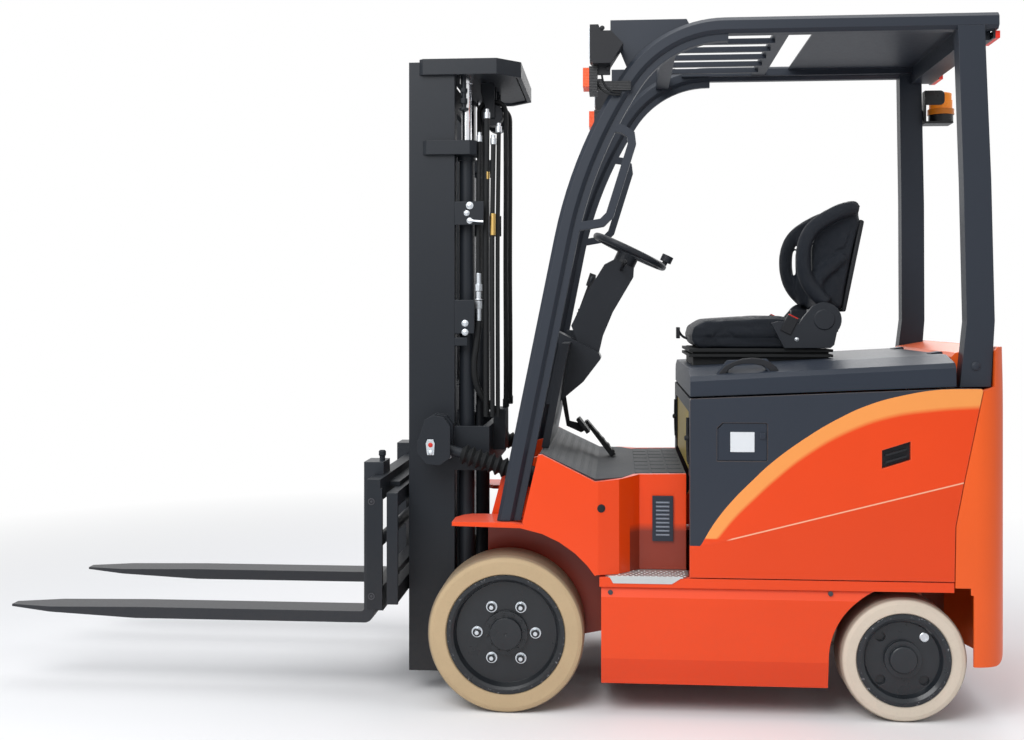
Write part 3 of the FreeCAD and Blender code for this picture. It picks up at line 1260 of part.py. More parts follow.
def tilt_frame(body):
    """Lay a piece drawn along its own X axis on the tilt cylinder's line, heel at its origin."""
    angle = math.degrees(math.atan2(EYE_Z - HEEL_Z, HEEL_X - EYE_X))
    body.Placement = Placement(Vector(HEEL_X, -number(d.cylinder_y), HEEL_Z),
                               Rotation(Y_AXIS, angle))
    return body


def make_tilt_cylinders():
    """Tilt cylinders: bored barrels with heel eyes, rods with eyes, and rubber boots."""
    length = math.hypot(EYE_X - HEEL_X, EYE_Z - HEEL_Z)
    barrel = new_body("tilt_barrel")
    disc(barrel, "YZ", (0, 0), 38, -350, -60)
    disc(barrel, "YZ", (0, 0), 17, -64, -20)
    disc(barrel, "XZ", (0, 0), 30, -20, 20)
    disc(barrel, "YZ", (0, 0), 19, -355, -76, cut=True)
    disc(barrel, "XZ", (0, 0), 15.05, -25, 25, cut=True)
    keep(both_sides("tilt_barrels_piece", [tilt_frame(barrel)]), "tilt_barrels")
    rod = new_body("tilt_rod")
    disc(rod, "YZ", (0, 0), 18, -length, -166)
    disc(rod, "XZ", (-length, 0), 32, -20, 20)
    disc(rod, "XZ", (-length, 0), 18, -25, 25, cut=True)
    keep(both_sides("tilt_rods_piece", [tilt_frame(rod)]), "tilt_rods")
    boot = new_body("boot")
    sections = []
    folds = 6
    start, end = -350.3, -524
    pitch = (end - start) / folds
    for i in range(folds):
        sections += [(start + pitch * i, 26), (start + pitch * (i + 0.5), 36)]
    sections.append((end, 24))
    sketch = new_sketch(boot, "XZ", 0)
    draw_outline(sketch, sections + [(end, 18.3), (end + 10, 18.3), (end + 14, 22), (start, 22)])
    feature = boot.newObject("PartDesign::Revolution", "boot_solid")
    feature.Profile = sketch
    feature.ReferenceAxis = (sketch, ["H_Axis"])
    feature.Angle = 360
    keep(both_sides("boots", [tilt_frame(boot)]), "tilt_boots")


def make_heel_brackets():
    """Brackets on the frame's rails that hold the tilt cylinders' heels."""
    ear = new_body("heel_ear")
    inner = d.front_face - d.front_wide - 12
    for y in (-d.cylinder_y - 38, -d.cylinder_y + 25):
        slab(ear, "XZ", [(290, 620), (400, 620), (400, 715), (345, 735), (305, 725), (290, 690)],
             y, y + 13)
    slab(ear, "XZ", box(290, 400, 608, 620), -d.cylinder_y - 38, -inner)
    disc(ear, "XZ", (HEEL_X, HEEL_Z), 15, -d.cylinder_y - 38, -d.cylinder_y + 38)
    return ear


MAKERS = (
    make_wheels, make_drive_axle, make_steer_axle, make_knuckles, make_chassis,
    make_steps, make_cowl, make_floor, make_grilles, make_side_panels, make_flap, make_battery,
    make_bay_front, make_counterweight, make_hood, make_seat, make_guard, make_roof, make_lamps,
    make_console, make_controls, make_steering_wheel, make_outer_mast, make_lift_barrels,
    make_inner_mast, make_lift_rods, make_free_head, make_chains, make_hoses, make_carriage,
    make_shifter, make_forks, make_tilt_cylinders)

for maker in MAKERS:
    maker()
doc.recompute()

for thing in doc.Objects:
    if "Invalid" in thing.State or "Error" in thing.State:
        raise RuntimeError("%s failed: %s" % (thing.Name, thing.State))
for node in NODES:
    if node.Shape.isNull() or not node.Shape.isValid():
        raise RuntimeError("%s has no valid shape" % node.Label)
for node in NODES:
    node.Shape.exportStep("parts/%s.step" % node.Label)
    corner = node.Shape.BoundBox
    print("%-18s %d solids  X %.0f %.0f  Y %.0f %.0f  Z %.0f %.0f" % (
        node.Label, len(node.Shape.Solids), corner.XMin, corner.XMax, corner.YMin, corner.YMax,
        corner.ZMin, corner.ZMax))
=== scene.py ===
import math

import bmesh
import bpy
from bpy.props import FloatProperty, FloatVectorProperty, IntProperty, PointerProperty
from mathutils import Matrix, Vector


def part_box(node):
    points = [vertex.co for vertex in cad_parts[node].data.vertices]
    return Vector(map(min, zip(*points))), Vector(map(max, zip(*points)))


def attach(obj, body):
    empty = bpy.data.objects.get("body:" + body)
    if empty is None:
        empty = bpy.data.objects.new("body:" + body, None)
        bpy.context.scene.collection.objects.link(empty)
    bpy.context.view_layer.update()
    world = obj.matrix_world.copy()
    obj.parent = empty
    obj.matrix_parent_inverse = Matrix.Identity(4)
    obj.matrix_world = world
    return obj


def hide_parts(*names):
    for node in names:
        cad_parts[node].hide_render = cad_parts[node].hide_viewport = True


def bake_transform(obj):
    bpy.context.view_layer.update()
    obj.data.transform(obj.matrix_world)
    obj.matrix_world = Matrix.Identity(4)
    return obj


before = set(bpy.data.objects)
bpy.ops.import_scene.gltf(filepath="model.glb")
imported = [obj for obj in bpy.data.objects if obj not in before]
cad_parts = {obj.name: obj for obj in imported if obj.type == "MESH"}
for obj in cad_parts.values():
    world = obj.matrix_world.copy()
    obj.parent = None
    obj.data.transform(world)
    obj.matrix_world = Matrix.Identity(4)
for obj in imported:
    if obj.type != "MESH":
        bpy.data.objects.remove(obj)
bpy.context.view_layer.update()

bl_info = {
    "name": "Electric forklift dressing",
    "version": (1, 0, 0),
    "blender": (4, 5, 0),
    "location": "3D Viewport > Sidebar > Forklift",
    "description": "Paint, rubber, upholstery and small fittings for an electric forklift",
    "category": "Object",
}

# Plain helpers. Lengths in the calls below are millimetres from the front axle.

low_corner, high_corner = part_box("front_tyre_left")
AXLE_X = (low_corner[0] + high_corner[0]) / 2
FRONT_CENTRE = (0.0, (high_corner[2] - low_corner[2]) * 500)
low_corner, high_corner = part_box("rear_tyre_left")
REAR_CENTRE = (((low_corner[0] + high_corner[0]) / 2 - AXLE_X) * 1000,
               (high_corner[2] - low_corner[2]) * 500)
BOTH = (-1, 1)
OUTWARD = (0, -1, 0)
UPWARD = (0, 0, 1)


def spot(x, y, z):
    """A place in the truck's frame, in metres."""
    return Vector((x / 1000 + AXLE_X, y / 1000, z / 1000))


def edges_of(node):
    """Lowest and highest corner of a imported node, in millimetres from the front axle."""
    low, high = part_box(node)
    shift = Vector((AXLE_X, 0, 0))
    return (Vector(low) - shift) * 1000, (Vector(high) - shift) * 1000


# Shading

class Wire:
    """One shader socket. Sums, products and comparisons on it add Math nodes."""

    def __init__(self, shader, node, socket):
        self.shader = shader
        self.node = node
        self.socket = socket

    def other(self, name):
        return Wire(self.shader, self.node, self.node.outputs[name])

    def maths(self, operation, first, second, clamp=False):
        return self.shader.add("ShaderNodeMath", {"operation": operation, "use_clamp": clamp},
                               {0: first, 1: second})

    def __add__(self, value):
        return self.maths("ADD", self, value)

    def __radd__(self, value):
        return self.maths("ADD", value, self)

    def __sub__(self, value):
        return self.maths("SUBTRACT", self, value)

    def __rsub__(self, value):
        return self.maths("SUBTRACT", value, self)

    def __mul__(self, value):
        return self.maths("MULTIPLY", self, value)

    def __rmul__(self, value):
        return self.maths("MULTIPLY", value, self)

    def __truediv__(self, value):
        return self.maths("DIVIDE", self, value)

    def __pow__(self, value):
        return self.maths("POWER", self, value)

    def __gt__(self, value):
        return self.maths("GREATER_THAN", self, value)

    def __lt__(self, value):
        return self.maths("LESS_THAN", self, value)

    def clamped(self):
        return self.maths("ADD", self, 0.0, clamp=True)

    def above(self, edge, soft):
        """0 below an edge, 1 above it, with a soft step between."""
        return self.maths("ADD", (self - edge) / soft, 0.5, clamp=True)


class Shader:
    """A node material; constants go straight on the surface shader's own sockets."""

    def __init__(self, name, **constants):
        self.material = bpy.data.materials.new(name)
        self.material.use_nodes = True
        self.tree = self.material.node_tree
        self.tree.nodes.clear()
        self.surface = self.tree.nodes.new("ShaderNodeBsdfPrincipled")
        output = self.tree.nodes.new("ShaderNodeOutputMaterial")
        self.tree.links.new(self.surface.outputs[0], output.inputs["Surface"])
        for socket, value in constants.items():
            self.surface.inputs[socket.replace("_", " ")].default_value = value
        self.point = self.add("ShaderNodeTexCoord", {}, {}, "Object")

    def feed(self, node, key, value):
        socket = node.inputs[key]
        if isinstance(value, Wire):
            self.tree.links.new(value.socket, socket)
        elif hasattr(value, "__len__") and len(value) == 3 and socket.type == "RGBA":
            socket.default_value = (*value, 1)
        else:
            socket.default_value = value

    def add(self, kind, settings, sockets, output=0):
        """A node of any other kind: its settings first, then its sockets' values or links."""
        node = self.tree.nodes.new(kind)
        for key, value in settings.items():
            if key == "points":
                curve = node.mapping.curves[0]
                while len(curve.points) < len(value):
                    curve.points.new(0.5, 0.5)
                for handle, place in zip(curve.points, value):
                    handle.location = place
                    handle.handle_type = "VECTOR" if place[0] < 0.06 else "AUTO_CLAMPED"
                node.mapping.update()
            else:
                setattr(node, key, value)
        for key, value in sockets.items():
            self.feed(node, key, value)
        return Wire(self, node, node.outputs[output])

    def noise(self, scale, detail=3.0, rough=0.55, where=None):
        return self.add("ShaderNodeTexNoise", {}, {
            "Vector": where or self.point, "Scale": scale, "Detail": detail, "Roughness": rough})

    def mix(self, factor, first, second):
        return self.add("ShaderNodeMix", {"data_type": "RGBA", "clamp_factor": True},
                        {0: factor, 6: first, 7: second}, 2)

    def axes(self):
        split = self.add("ShaderNodeSeparateXYZ", {}, {0: self.point})
        return split, split.other("Y"), split.other("Z")

    def corner(self, radius):
        """Normal rounded over edges, and a mask that rises near them."""
        rounded = self.add("ShaderNodeBevel", {"samples": 4}, {"Radius": radius})
        flat = self.add("ShaderNodeNewGeometry", {}, {}, "Normal")
        same = self.add("ShaderNodeVectorMath", {"operation": "DOT_PRODUCT"},
                        {0: rounded, 1: flat}, "Value")
        return rounded, ((1 - same) * 5.0).clamped()

    def relief(self, height, distance, normal=None):
        sockets = {"Height": height, "Distance": distance}
        if normal:
            sockets["Normal"] = normal
        self.set(Normal=self.add("ShaderNodeBump", {}, sockets))

    def set(self, **sockets):
        for name, value in sockets.items():
            self.feed(self.surface, name.replace("_", " "), value)


def shade(colour, factor):
    return tuple(channel * factor for channel in colour)


def enamel(name, colour, gloss=0.3, dust=0.25, worn=0.25, coat=0.1, shine=0.3, slope=0.0):
    """Sprayed paint: slight cloudiness, orange peel, dust low down, thin paint on edges; with
    slope, a painted highlight on up-facing faces and painted shade on down-facing faces and in
    the wheel arches.
    """
    s = Shader(name, Coat_Weight=coat, Coat_Roughness=0.18, Specular_IOR_Level=shine)
    cloud = s.noise(2.2, 4.0)
    speck = s.noise(60.0, 4.0, 0.7)
    rounded, edge = s.corner(0.003)
    x, y, z = s.axes()
    low = (1 - z.above(0.38, 0.5)) * dust
    paint = s.mix(cloud, shade(colour, 0.93), shade(colour, 1.07))
    # With slope, light is painted in: up-facing faces go paler as a painted highlight,
    # down-facing faces go dark red as painted shade.
    if slope:
        normal = s.add("ShaderNodeNewGeometry", {}, {}, "Normal")
        painted_light_tilt = s.add("ShaderNodeSeparateXYZ", {}, {0: normal}, "Z")
        pale = [min(1, c * 1.12 + 0.10) for c in colour]
        paint = s.mix((painted_light_tilt * slope).clamped(), paint, pale)
        red = (colour[0] * 0.7, colour[1] * 0.35, colour[2] * 0.6)
        paint = s.mix((painted_light_tilt * -2.0 * slope).clamped(), paint, red)
        # Painted shade inside the wheel arches: low faces near the middle of the truck, ahead of
        # its back end, go dark brown-red.
        inside = y.maths("ABSOLUTE", y, 0.0) < 0.47
        arch_painted_shade = inside * (1 - z.above(0.62, 0.03)) * ((x - AXLE_X) < 1.44)
        paint = s.mix(arch_painted_shade * 0.75, paint, (0.07, 0.025, 0.02))
    thin = [min(1, c * 1.5 + 0.05) for c in colour]
    paint = s.mix(edge * worn * (0.4 + speck), paint, thin)
    paint = s.mix((low * speck * 1.6).clamped(), paint, (0.16, 0.12, 0.09))
    s.set(Base_Color=paint, Roughness=(gloss - 0.05 + speck * 0.12 + low * 0.35))
    peel = s.noise(420.0, 2.0)
    s.relief(peel, 0.00012, rounded)
    return s.material


def panel_paint(name, low, high, dark, light):
    """Battery bay cover: charcoal upper front, orange below; a painted highlight strip where the
    bevel below the charcoal faces up, painted shade under the crease, painted highlights on the
    crease and edges.
    """
    s = Shader(name, Coat_Weight=0.1, Coat_Roughness=0.15, Specular_IOR_Level=0.3)
    rounded, edge = s.corner(0.004)
    x, _, z = s.axes()
    start, reach, base, tall = 0.60, 1.06, 0.50, 0.66
    along = ((x - AXLE_X - start) / reach).clamped()

    def curve(points):
        return s.add("ShaderNodeFloatCurve", {
            "points": [((px / 1000 - start) / reach, (pz / 1000 - base) / tall)
                       for px, pz in points]}, {"Value": along, "Factor": 1.0})

    border = curve([(600, 578), (655, 578), (660, 586), (701, 655), (759, 729), (829, 801),
                    (886, 855), (1002, 942), (1107, 1006), (1208, 1053), (1311, 1083),
                    (1446, 1105), (1578, 1107), (1660, 1107)])
    # Lower edge of the painted highlight strip on the upturned bevel below the charcoal.
    inner = curve([(600, 500), (680, 566), (713, 606), (769, 675), (836, 742), (899, 801),
                   (1002, 884), (1139, 964), (1277, 1014), (1413, 1036), (1575, 1048),
                   (1660, 1052)])
    height = (z - base) / tall
    charcoal = (height - border) > 0.0
    band = (height - inner).above(0.0, 0.025) * z.above(0.603, 0.006)
    crease = 0.600 + (x - AXLE_X - 0.751) * 0.2598
    under = (crease - z).above(0.0, 0.012)
    cloud = s.noise(2.5, 4.0)
    speck = s.noise(70.0, 4.0, 0.7)
    paint = s.mix(cloud, shade(low, 0.92), shade(low, 1.06))
    # Painted shade below the crease.
    paint = s.mix(under * 0.35, paint, shade(low, 0.8))
    # Painted highlight strip on the upturned bevel below the charcoal.
    paint = s.mix(band, paint, s.mix(cloud, shade(high, 0.95), shade(high, 1.05)))
    # Painted highlight line along the crease.
    gap = z - crease
    line = (1 - (gap * gap) * 110000.0).clamped() * (x - AXLE_X - 0.75).above(0.0, 0.02)
    paint = s.mix(line * 0.8, paint, light)
    paint = s.mix(charcoal, paint, s.mix(cloud, shade(dark, 0.9), shade(dark, 1.12)))
    # Painted highlight on the edges.
    paint = s.mix(edge * 0.15, paint, light)
    s.set(Base_Color=paint, Roughness=(0.27 + speck * 0.1 + charcoal * 0.12))
    peel = s.noise(420.0, 2.0)
    s.relief(peel * 0.1 - under * 0.9, 0.0012, rounded)
    return s.material


def tyre_rubber(name, colour, centre, radius):
    """Pale solid rubber: mottled sides, painted shade over the tread, a faint ring where moulds
    met.
    """
    s = Shader(name, Specular_IOR_Level=0.3)
    rounded, _ = s.corner(0.004)
    x, _, z = s.axes()
    dx = x - (centre[0] / 1000 + AXLE_X)
    dz = z - centre[1] / 1000
    reach = (dx * dx + dz * dz) ** 0.5
    tread = reach.above(radius - 0.006, 0.006)
    bead = 1 - reach.above(radius * 0.75, 0.02)
    cloud = s.noise(9.0, 5.0, 0.6)
    speck = s.noise(120.0, 5.0, 0.75)
    paint = s.mix(cloud, shade(colour, 0.88), shade(colour, 1.08))
    paint = s.mix(((speck - 0.55) * 3.0).clamped() * 0.35, paint, shade(colour, 0.55))
    paint = s.mix(bead * 0.35, paint, shade(colour, 0.5))
    # Painted shade darkens the tread.
    paint = s.mix(tread * (0.45 + cloud * 0.4), paint, (0.16, 0.13, 0.10))
    ring = reach - radius * 0.965
    seam = (1 - ring * ring * 400000.0).clamped()
    s.set(Base_Color=paint, Roughness=(0.55 + speck * 0.25))
    s.relief(speck * 0.5 - seam, 0.0006, rounded)
    return s.material


def grained(name, colour, scale=700.0, rough=0.5, deep=0.0003):
    """Moulded plastic or rubber with an even fine grain and greyed edges."""
    s = Shader(name, Specular_IOR_Level=0.25)
    rounded, edge = s.corner(0.002)
    cells = s.add("ShaderNodeTexVoronoi", {"feature": "F1"}, {"Vector": s.point, "Scale": scale})
    cloud = s.noise(6.0, 4.0)
    paint = s.mix(cloud, shade(colour, 0.8), shade(colour, 1.25))
    paint = s.mix(edge * 0.35, paint, [c * 1.8 + 0.02 for c in colour])
    s.set(Base_Color=paint, Roughness=(rough - 0.08 + cloud * 0.16))
    s.relief(cells, deep, rounded)
    return s.material


def vinyl(name, colour):
    """Seat cover: leathery cells of uneven size, its roughness varying in soft clouds."""
    s = Shader(name, Specular_IOR_Level=0.22)
    warp = s.noise(40.0, 2.0)
    bent = s.add("ShaderNodeVectorMath", {"operation": "MULTIPLY_ADD"},
                 {0: warp.other("Color"), 1: (0.004, 0.004, 0.004), 2: s.point})
    cells = s.add("ShaderNodeTexVoronoi", {"feature": "DISTANCE_TO_EDGE"},
                  {"Vector": bent, "Scale": 420.0})
    cloud = s.noise(5.0, 4.0)
    paint = s.mix(cloud, shade(colour, 0.8), shade(colour, 1.3))
    s.set(Base_Color=paint, Roughness=(0.34 + cloud * 0.2))
    s.relief(cells.clamped(), 0.0025)
    return s.material


def metal(name, colour, rough=0.3, brushed=0.0, tarnish=0.3, metallic=1.0):
    """Bare or plated metal with handling marks; brushed stretches the marks upright."""
    s = Shader(name, Metallic=metallic)
    rounded, _ = s.corner(0.001)
    where = s.add("ShaderNodeMapping", {}, {"Vector": s.point, "Scale": (1, 1, 1 - brushed)})
    mark = s.noise(160.0, 5.0, 0.7, where)
    cloud = s.noise(14.0, 4.0)
    paint = s.mix(cloud * tarnish, colour, shade(colour, 0.45))
    s.set(Base_Color=paint, Roughness=(rough - 0.08 + mark * 0.22))
    s.relief(mark, 0.0001, rounded)
    return s.material


def lens(name, colour, rough, ribs):
    """Moulded lamp lens with fine ribs."""
    s = Shader(name, Coat_Weight=0.6, IOR=1.49)
    wave = s.add("ShaderNodeTexWave", {"bands_direction": "Z"},
                 {"Vector": s.point, "Scale": ribs})
    cloud = s.noise(30.0, 2.0)
    paint = s.mix(cloud, shade(colour, 0.8), [min(1.0, c * 1.15) for c in colour])
    s.set(Base_Color=paint, Roughness=(rough + cloud * 0.08))
    s.relief(wave, 0.0006)
    return s.material


def lamp_body(name, case, areas):
    """Black lamp housing whose lens areas are masked out of it; each lens glows a little."""
    s = Shader(name, Emission_Strength=0.2, Specular_IOR_Level=0.35)
    x, y, z = s.axes()
    rounded, _ = s.corner(0.0015)
    cloud = s.noise(30.0, 2.0)
    paint = s.mix(cloud, shade(case, 0.8), shade(case, 1.3))
    light = (0.0, 0.0, 0.0)
    for area, colour in areas:
        mask = area((x - AXLE_X) * 1000, y * 1000, z * 1000)
        tint = s.mix(cloud, shade(colour, 0.82), colour)
        paint = s.mix(mask, paint, tint)
        light = s.mix(mask, light, tint)
    rib = s.add("ShaderNodeTexWave", {"bands_direction": "Z"}, {"Vector": s.point, "Scale": 60.0})
    s.set(Base_Color=paint, Emission_Color=light, Roughness=(0.22 + cloud * 0.15))
    s.relief(rib, 0.0005, rounded)
    return s.material


def rim_paint(name, colour, centre, radius):
    """Black wheel paint, chipped to pale primer along the outer lip."""
    s = Shader(name, Coat_Weight=0.15, Specular_IOR_Level=0.35)
    rounded, edge = s.corner(0.002)
    x, _, z = s.axes()
    dx = x - (centre[0] / 1000 + AXLE_X)
    dz = z - centre[1] / 1000
    reach = (dx * dx + dz * dz) ** 0.5
    lip = reach.above(radius - 0.010, 0.004)
    chip = (s.noise(95.0, 5.0, 0.75) - 0.62).above(0.0, 0.03)
    cloud = s.noise(12.0, 4.0)
    paint = s.mix(cloud, shade(colour, 0.7), shade(colour, 1.5))
    paint = s.mix(lip * chip * 0.6, paint, (0.42, 0.42, 0.44))
    paint = s.mix(edge * 0.2, paint, (0.08, 0.09, 0.10))
    s.set(Base_Color=paint, Roughness=(0.2 + cloud * 0.2 + lip * chip * 0.3))
    s.relief(s.noise(300.0, 2.0), 0.0001, rounded)
    return s.material


# Mesh building

class Form:
    """Collects geometry in millimetres from the front axle, then becomes one piece."""

    def __init__(self):
        self.bm = bmesh.new()

    def lathe(self, profile, place, axis=OUTWARD, steps=28, roll=0.0):
        """Turn (radius, height) points about an axis that starts at a place."""
        axis = Vector(axis).normalized()
        side = axis.orthogonal().normalized()
        third = axis.cross(side)
        base = Vector(place)
        rings = []
        for radius, height in profile:
            centre = base + axis * height
            if radius < 1e-6:
                rings.append([self.bm.verts.new(centre)])
                continue
            ring = []
            for i in range(steps):
                angle = math.tau * i / steps + roll
                ring.append(self.bm.verts.new(
                    centre + (side * math.cos(angle) + third * math.sin(angle)) * radius))
            rings.append(ring)
        for lower, upper in zip(rings, rings[1:]):
            for i in range(steps):
                j = (i + 1) % steps
                loop = [lower[i % len(lower)], lower[j % len(lower)],
                        upper[j % len(upper)], upper[i % len(upper)]]
                face = list(dict.fromkeys(loop))
                if len(face) > 2:
                    self.bm.faces.new(face)
        for ring, flip in ((rings[0], True), (rings[-1], False)):
            if len(ring) > 1:
                self.bm.faces.new(ring[::-1] if flip else ring)
        return self

    def prism(self, outline, low, high, plane="XZ"):
        """Extrude an outline along the axis that its plane leaves out."""
        order = {"XZ": lambda u, v, w: (u, w, v), "XY": lambda u, v, w: (u, v, w),
                 "YZ": lambda u, v, w: (w, u, v)}[plane]
        first = [self.bm.verts.new(order(u, v, low)) for u, v in outline]
        second = [self.bm.verts.new(order(u, v, high)) for u, v in outline]
        self.bm.faces.new(first[::-1])
        self.bm.faces.new(second)
        for i in range(len(outline)):
            j = (i + 1) % len(outline)
            self.bm.faces.new((first[i], first[j], second[j], second[i]))
        return self

    def block(self, x0, x1, y0, y1, z0, z1):
        return self.prism([(x0, z0), (x1, z0), (x1, z1), (x0, z1)], y0, y1)

    def tube(self, points, radius, steps=10, order=3, fine=8):
        """A round bar or hose along a smooth line through control points."""
        curve = bpy.data.curves.new("route", "CURVE")
        curve.dimensions = "3D"
        spline = curve.splines.new("NURBS")
        spline.points.add(len(points) - 1)
        for handle, place in zip(spline.points, points):
            handle.co = (*place, 1)
        spline.order_u = order
        spline.use_endpoint_u = True
        spline.resolution_u = fine
        curve.bevel_depth = radius
        curve.bevel_resolution = max(1, steps // 4)
        curve.use_fill_caps = True
        holder = bpy.data.objects.new("route", curve)
        mesh = bpy.data.meshes.new_from_object(holder)
        self.bm.from_mesh(mesh)
        bpy.data.objects.remove(holder)
        bpy.data.curves.remove(curve)
        bpy.data.meshes.remove(mesh)
        return self

    def hex_head(self, place, axis, size, tall):
        """Hexagon bolt head without a washer."""
        return self.lathe([(size, 0), (size, tall * 0.85), (size * 0.86, tall)], place, axis,
                          6, 0.3)

    def dome_bolt(self, place, axis, size, tall):
        """Round-headed bolt on its washer."""
        self.lathe([(size * 1.2, 0), (size * 1.2, 1.5), (size, 1.5), (size * 0.95, tall * 0.55),
                    (size * 0.6, tall * 0.92), (0, tall)], place, axis, 18)
        return self

    def mirrored(self):
        """Add the same geometry on the other side of the truck."""
        copy = bmesh.ops.duplicate(self.bm, geom=self.bm.verts[:] + self.bm.edges[:]
                                   + self.bm.faces[:])["geom"]
        verts = [g for g in copy if isinstance(g, bmesh.types.BMVert)]
        faces = [g for g in copy if isinstance(g, bmesh.types.BMFace)]
        bmesh.ops.scale(self.bm, vec=(1, -1, 1), verts=verts)
        bmesh.ops.reverse_faces(self.bm, faces=faces)
        return self

    def turned(self, matrix):
        bmesh.ops.transform(self.bm, matrix=matrix, verts=self.bm.verts[:])
        return self

    def piece(self, name, body, material, slot, bevel=0.0, angle=35.0, ride=True):
        """Make the object, shade it, and let it ride on its body."""
        place = Matrix.Translation((AXLE_X, 0, 0)) @ Matrix.Scale(0.001, 4)
        self.turned(place)
        bmesh.ops.recalc_face_normals(self.bm, faces=self.bm.faces[:])
        mesh = bpy.data.meshes.new(name)
        self.bm.to_mesh(mesh)
        self.bm.free()
        mesh.shade_smooth()
        mesh.set_sharp_from_angle(angle=math.radians(angle))
        mesh.materials.append(material)
        thing = bpy.data.objects.new(name, mesh)
        bpy.context.scene.collection.objects.link(thing)
        if bevel:
            soft = thing.modifiers.new("edges", "BEVEL")
            soft.width = bevel / 1000
            soft.segments = 2
            soft.limit_method = "ANGLE"
            soft.angle_limit = math.radians(40)
        if ride:
            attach(thing, body)
        return thing


def ring_of(count, radius, centre, y, start=0.0):
    """Places on a circle about a wheel's axle line."""
    for i in range(count):
        angle = math.radians(start) + math.tau * i / count
        yield (centre[0] + radius * math.cos(angle), y, centre[1] + radius * math.sin(angle))


# Settings that a user would change

class ForkliftColours(bpy.types.PropertyGroup):
    orange: FloatVectorProperty(
        name="Body orange", description="Enamel of the cowl, skirts and counterweight",
        subtype="COLOR", size=3, min=0, max=1, default=(0.82, 0.060, 0.004))
    # Colour of the painted highlight on the side panel's upturned bevel.
    band: FloatVectorProperty(
        name="Band orange", description="Bright band beside the charcoal panel",
        subtype="COLOR", size=3, min=0, max=1, default=(0.90, 0.33, 0.08))
    charcoal: FloatVectorProperty(
        name="Charcoal", description="Hood, upper side panel and overhead guard",
        subtype="COLOR", size=3, min=0, max=1, default=(0.023, 0.030, 0.044))
    black: FloatVectorProperty(
        name="Mast black", description="Mast, carriage and forks",
        subtype="COLOR", size=3, min=0, max=1, default=(0.014, 0.017, 0.022))
    cream: FloatVectorProperty(
        name="Tyre cream", description="Non-marking tyre rubber",
        subtype="COLOR", size=3, min=0, max=1, default=(0.50, 0.37, 0.22))
    olive: FloatVectorProperty(
        name="Bay olive", description="Lining of the battery bay's front",
        subtype="COLOR", size=3, min=0, max=1, default=(0.42, 0.30, 0.03))
    amber: FloatVectorProperty(
        name="Amber lens", description="Lens of the beacon",
        subtype="COLOR", size=3, min=0, max=1, default=(0.95, 0.28, 0.02))


class ForkliftSizes(bpy.types.PropertyGroup):
    wheel_nut: FloatProperty(
        name="Wheel nut", description="Radius of a front wheel nut", unit="LENGTH",
        default=0.015, min=0.005, max=0.03)
    hose: FloatProperty(
        name="Hose radius", description="Radius of the hoses over the mast", unit="LENGTH",
        default=0.0085, min=0.003, max=0.015)
    chain_pitch: FloatProperty(
        name="Chain pitch", description="Pin to pin length of the lift chains", unit="LENGTH",
        default=0.0254, min=0.01, max=0.05)
    tread_rows: IntProperty(
        name="Tread rows", description="Rows of raised lugs on a step plate",
        default=5, min=1, max=12)
    swell: FloatProperty(
        name="Foam swell", description="Most that the seat's foam may swell", unit="LENGTH",
        default=0.007, min=0.0, max=0.03)


class ForkliftStage(bpy.types.PropertyGroup):
    floor: FloatVectorProperty(
        name="Floor", description="Colour of the studio floor", subtype="COLOR", size=3,
        min=0, max=1, default=(0.86, 0.86, 0.87))
    key: FloatProperty(
        name="Key light", description="Power of the large lamp over the left front",
        default=245.0, min=0.0)
    fill: FloatProperty(
        name="Fill light", description="Power of the lamp beyond the right side",
        default=98.0, min=0.0)


def settings():
    scene = bpy.context.scene
    return scene.forklift_colours, scene.forklift_sizes, scene.forklift_stage


FINISHES = {}


def finish(name):
    return FINISHES[name]


def dress(node, material):
    """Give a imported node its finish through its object's own material slots."""
    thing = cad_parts[node]
    for slot in thing.material_slots:
        slot.link = "OBJECT"
        slot.material = material
    if not thing.material_slots:
        thing.data.materials.append(material)


class PieceOperator:
    """Options that the operators below share."""

    bl_options = {"REGISTER", "UNDO"}


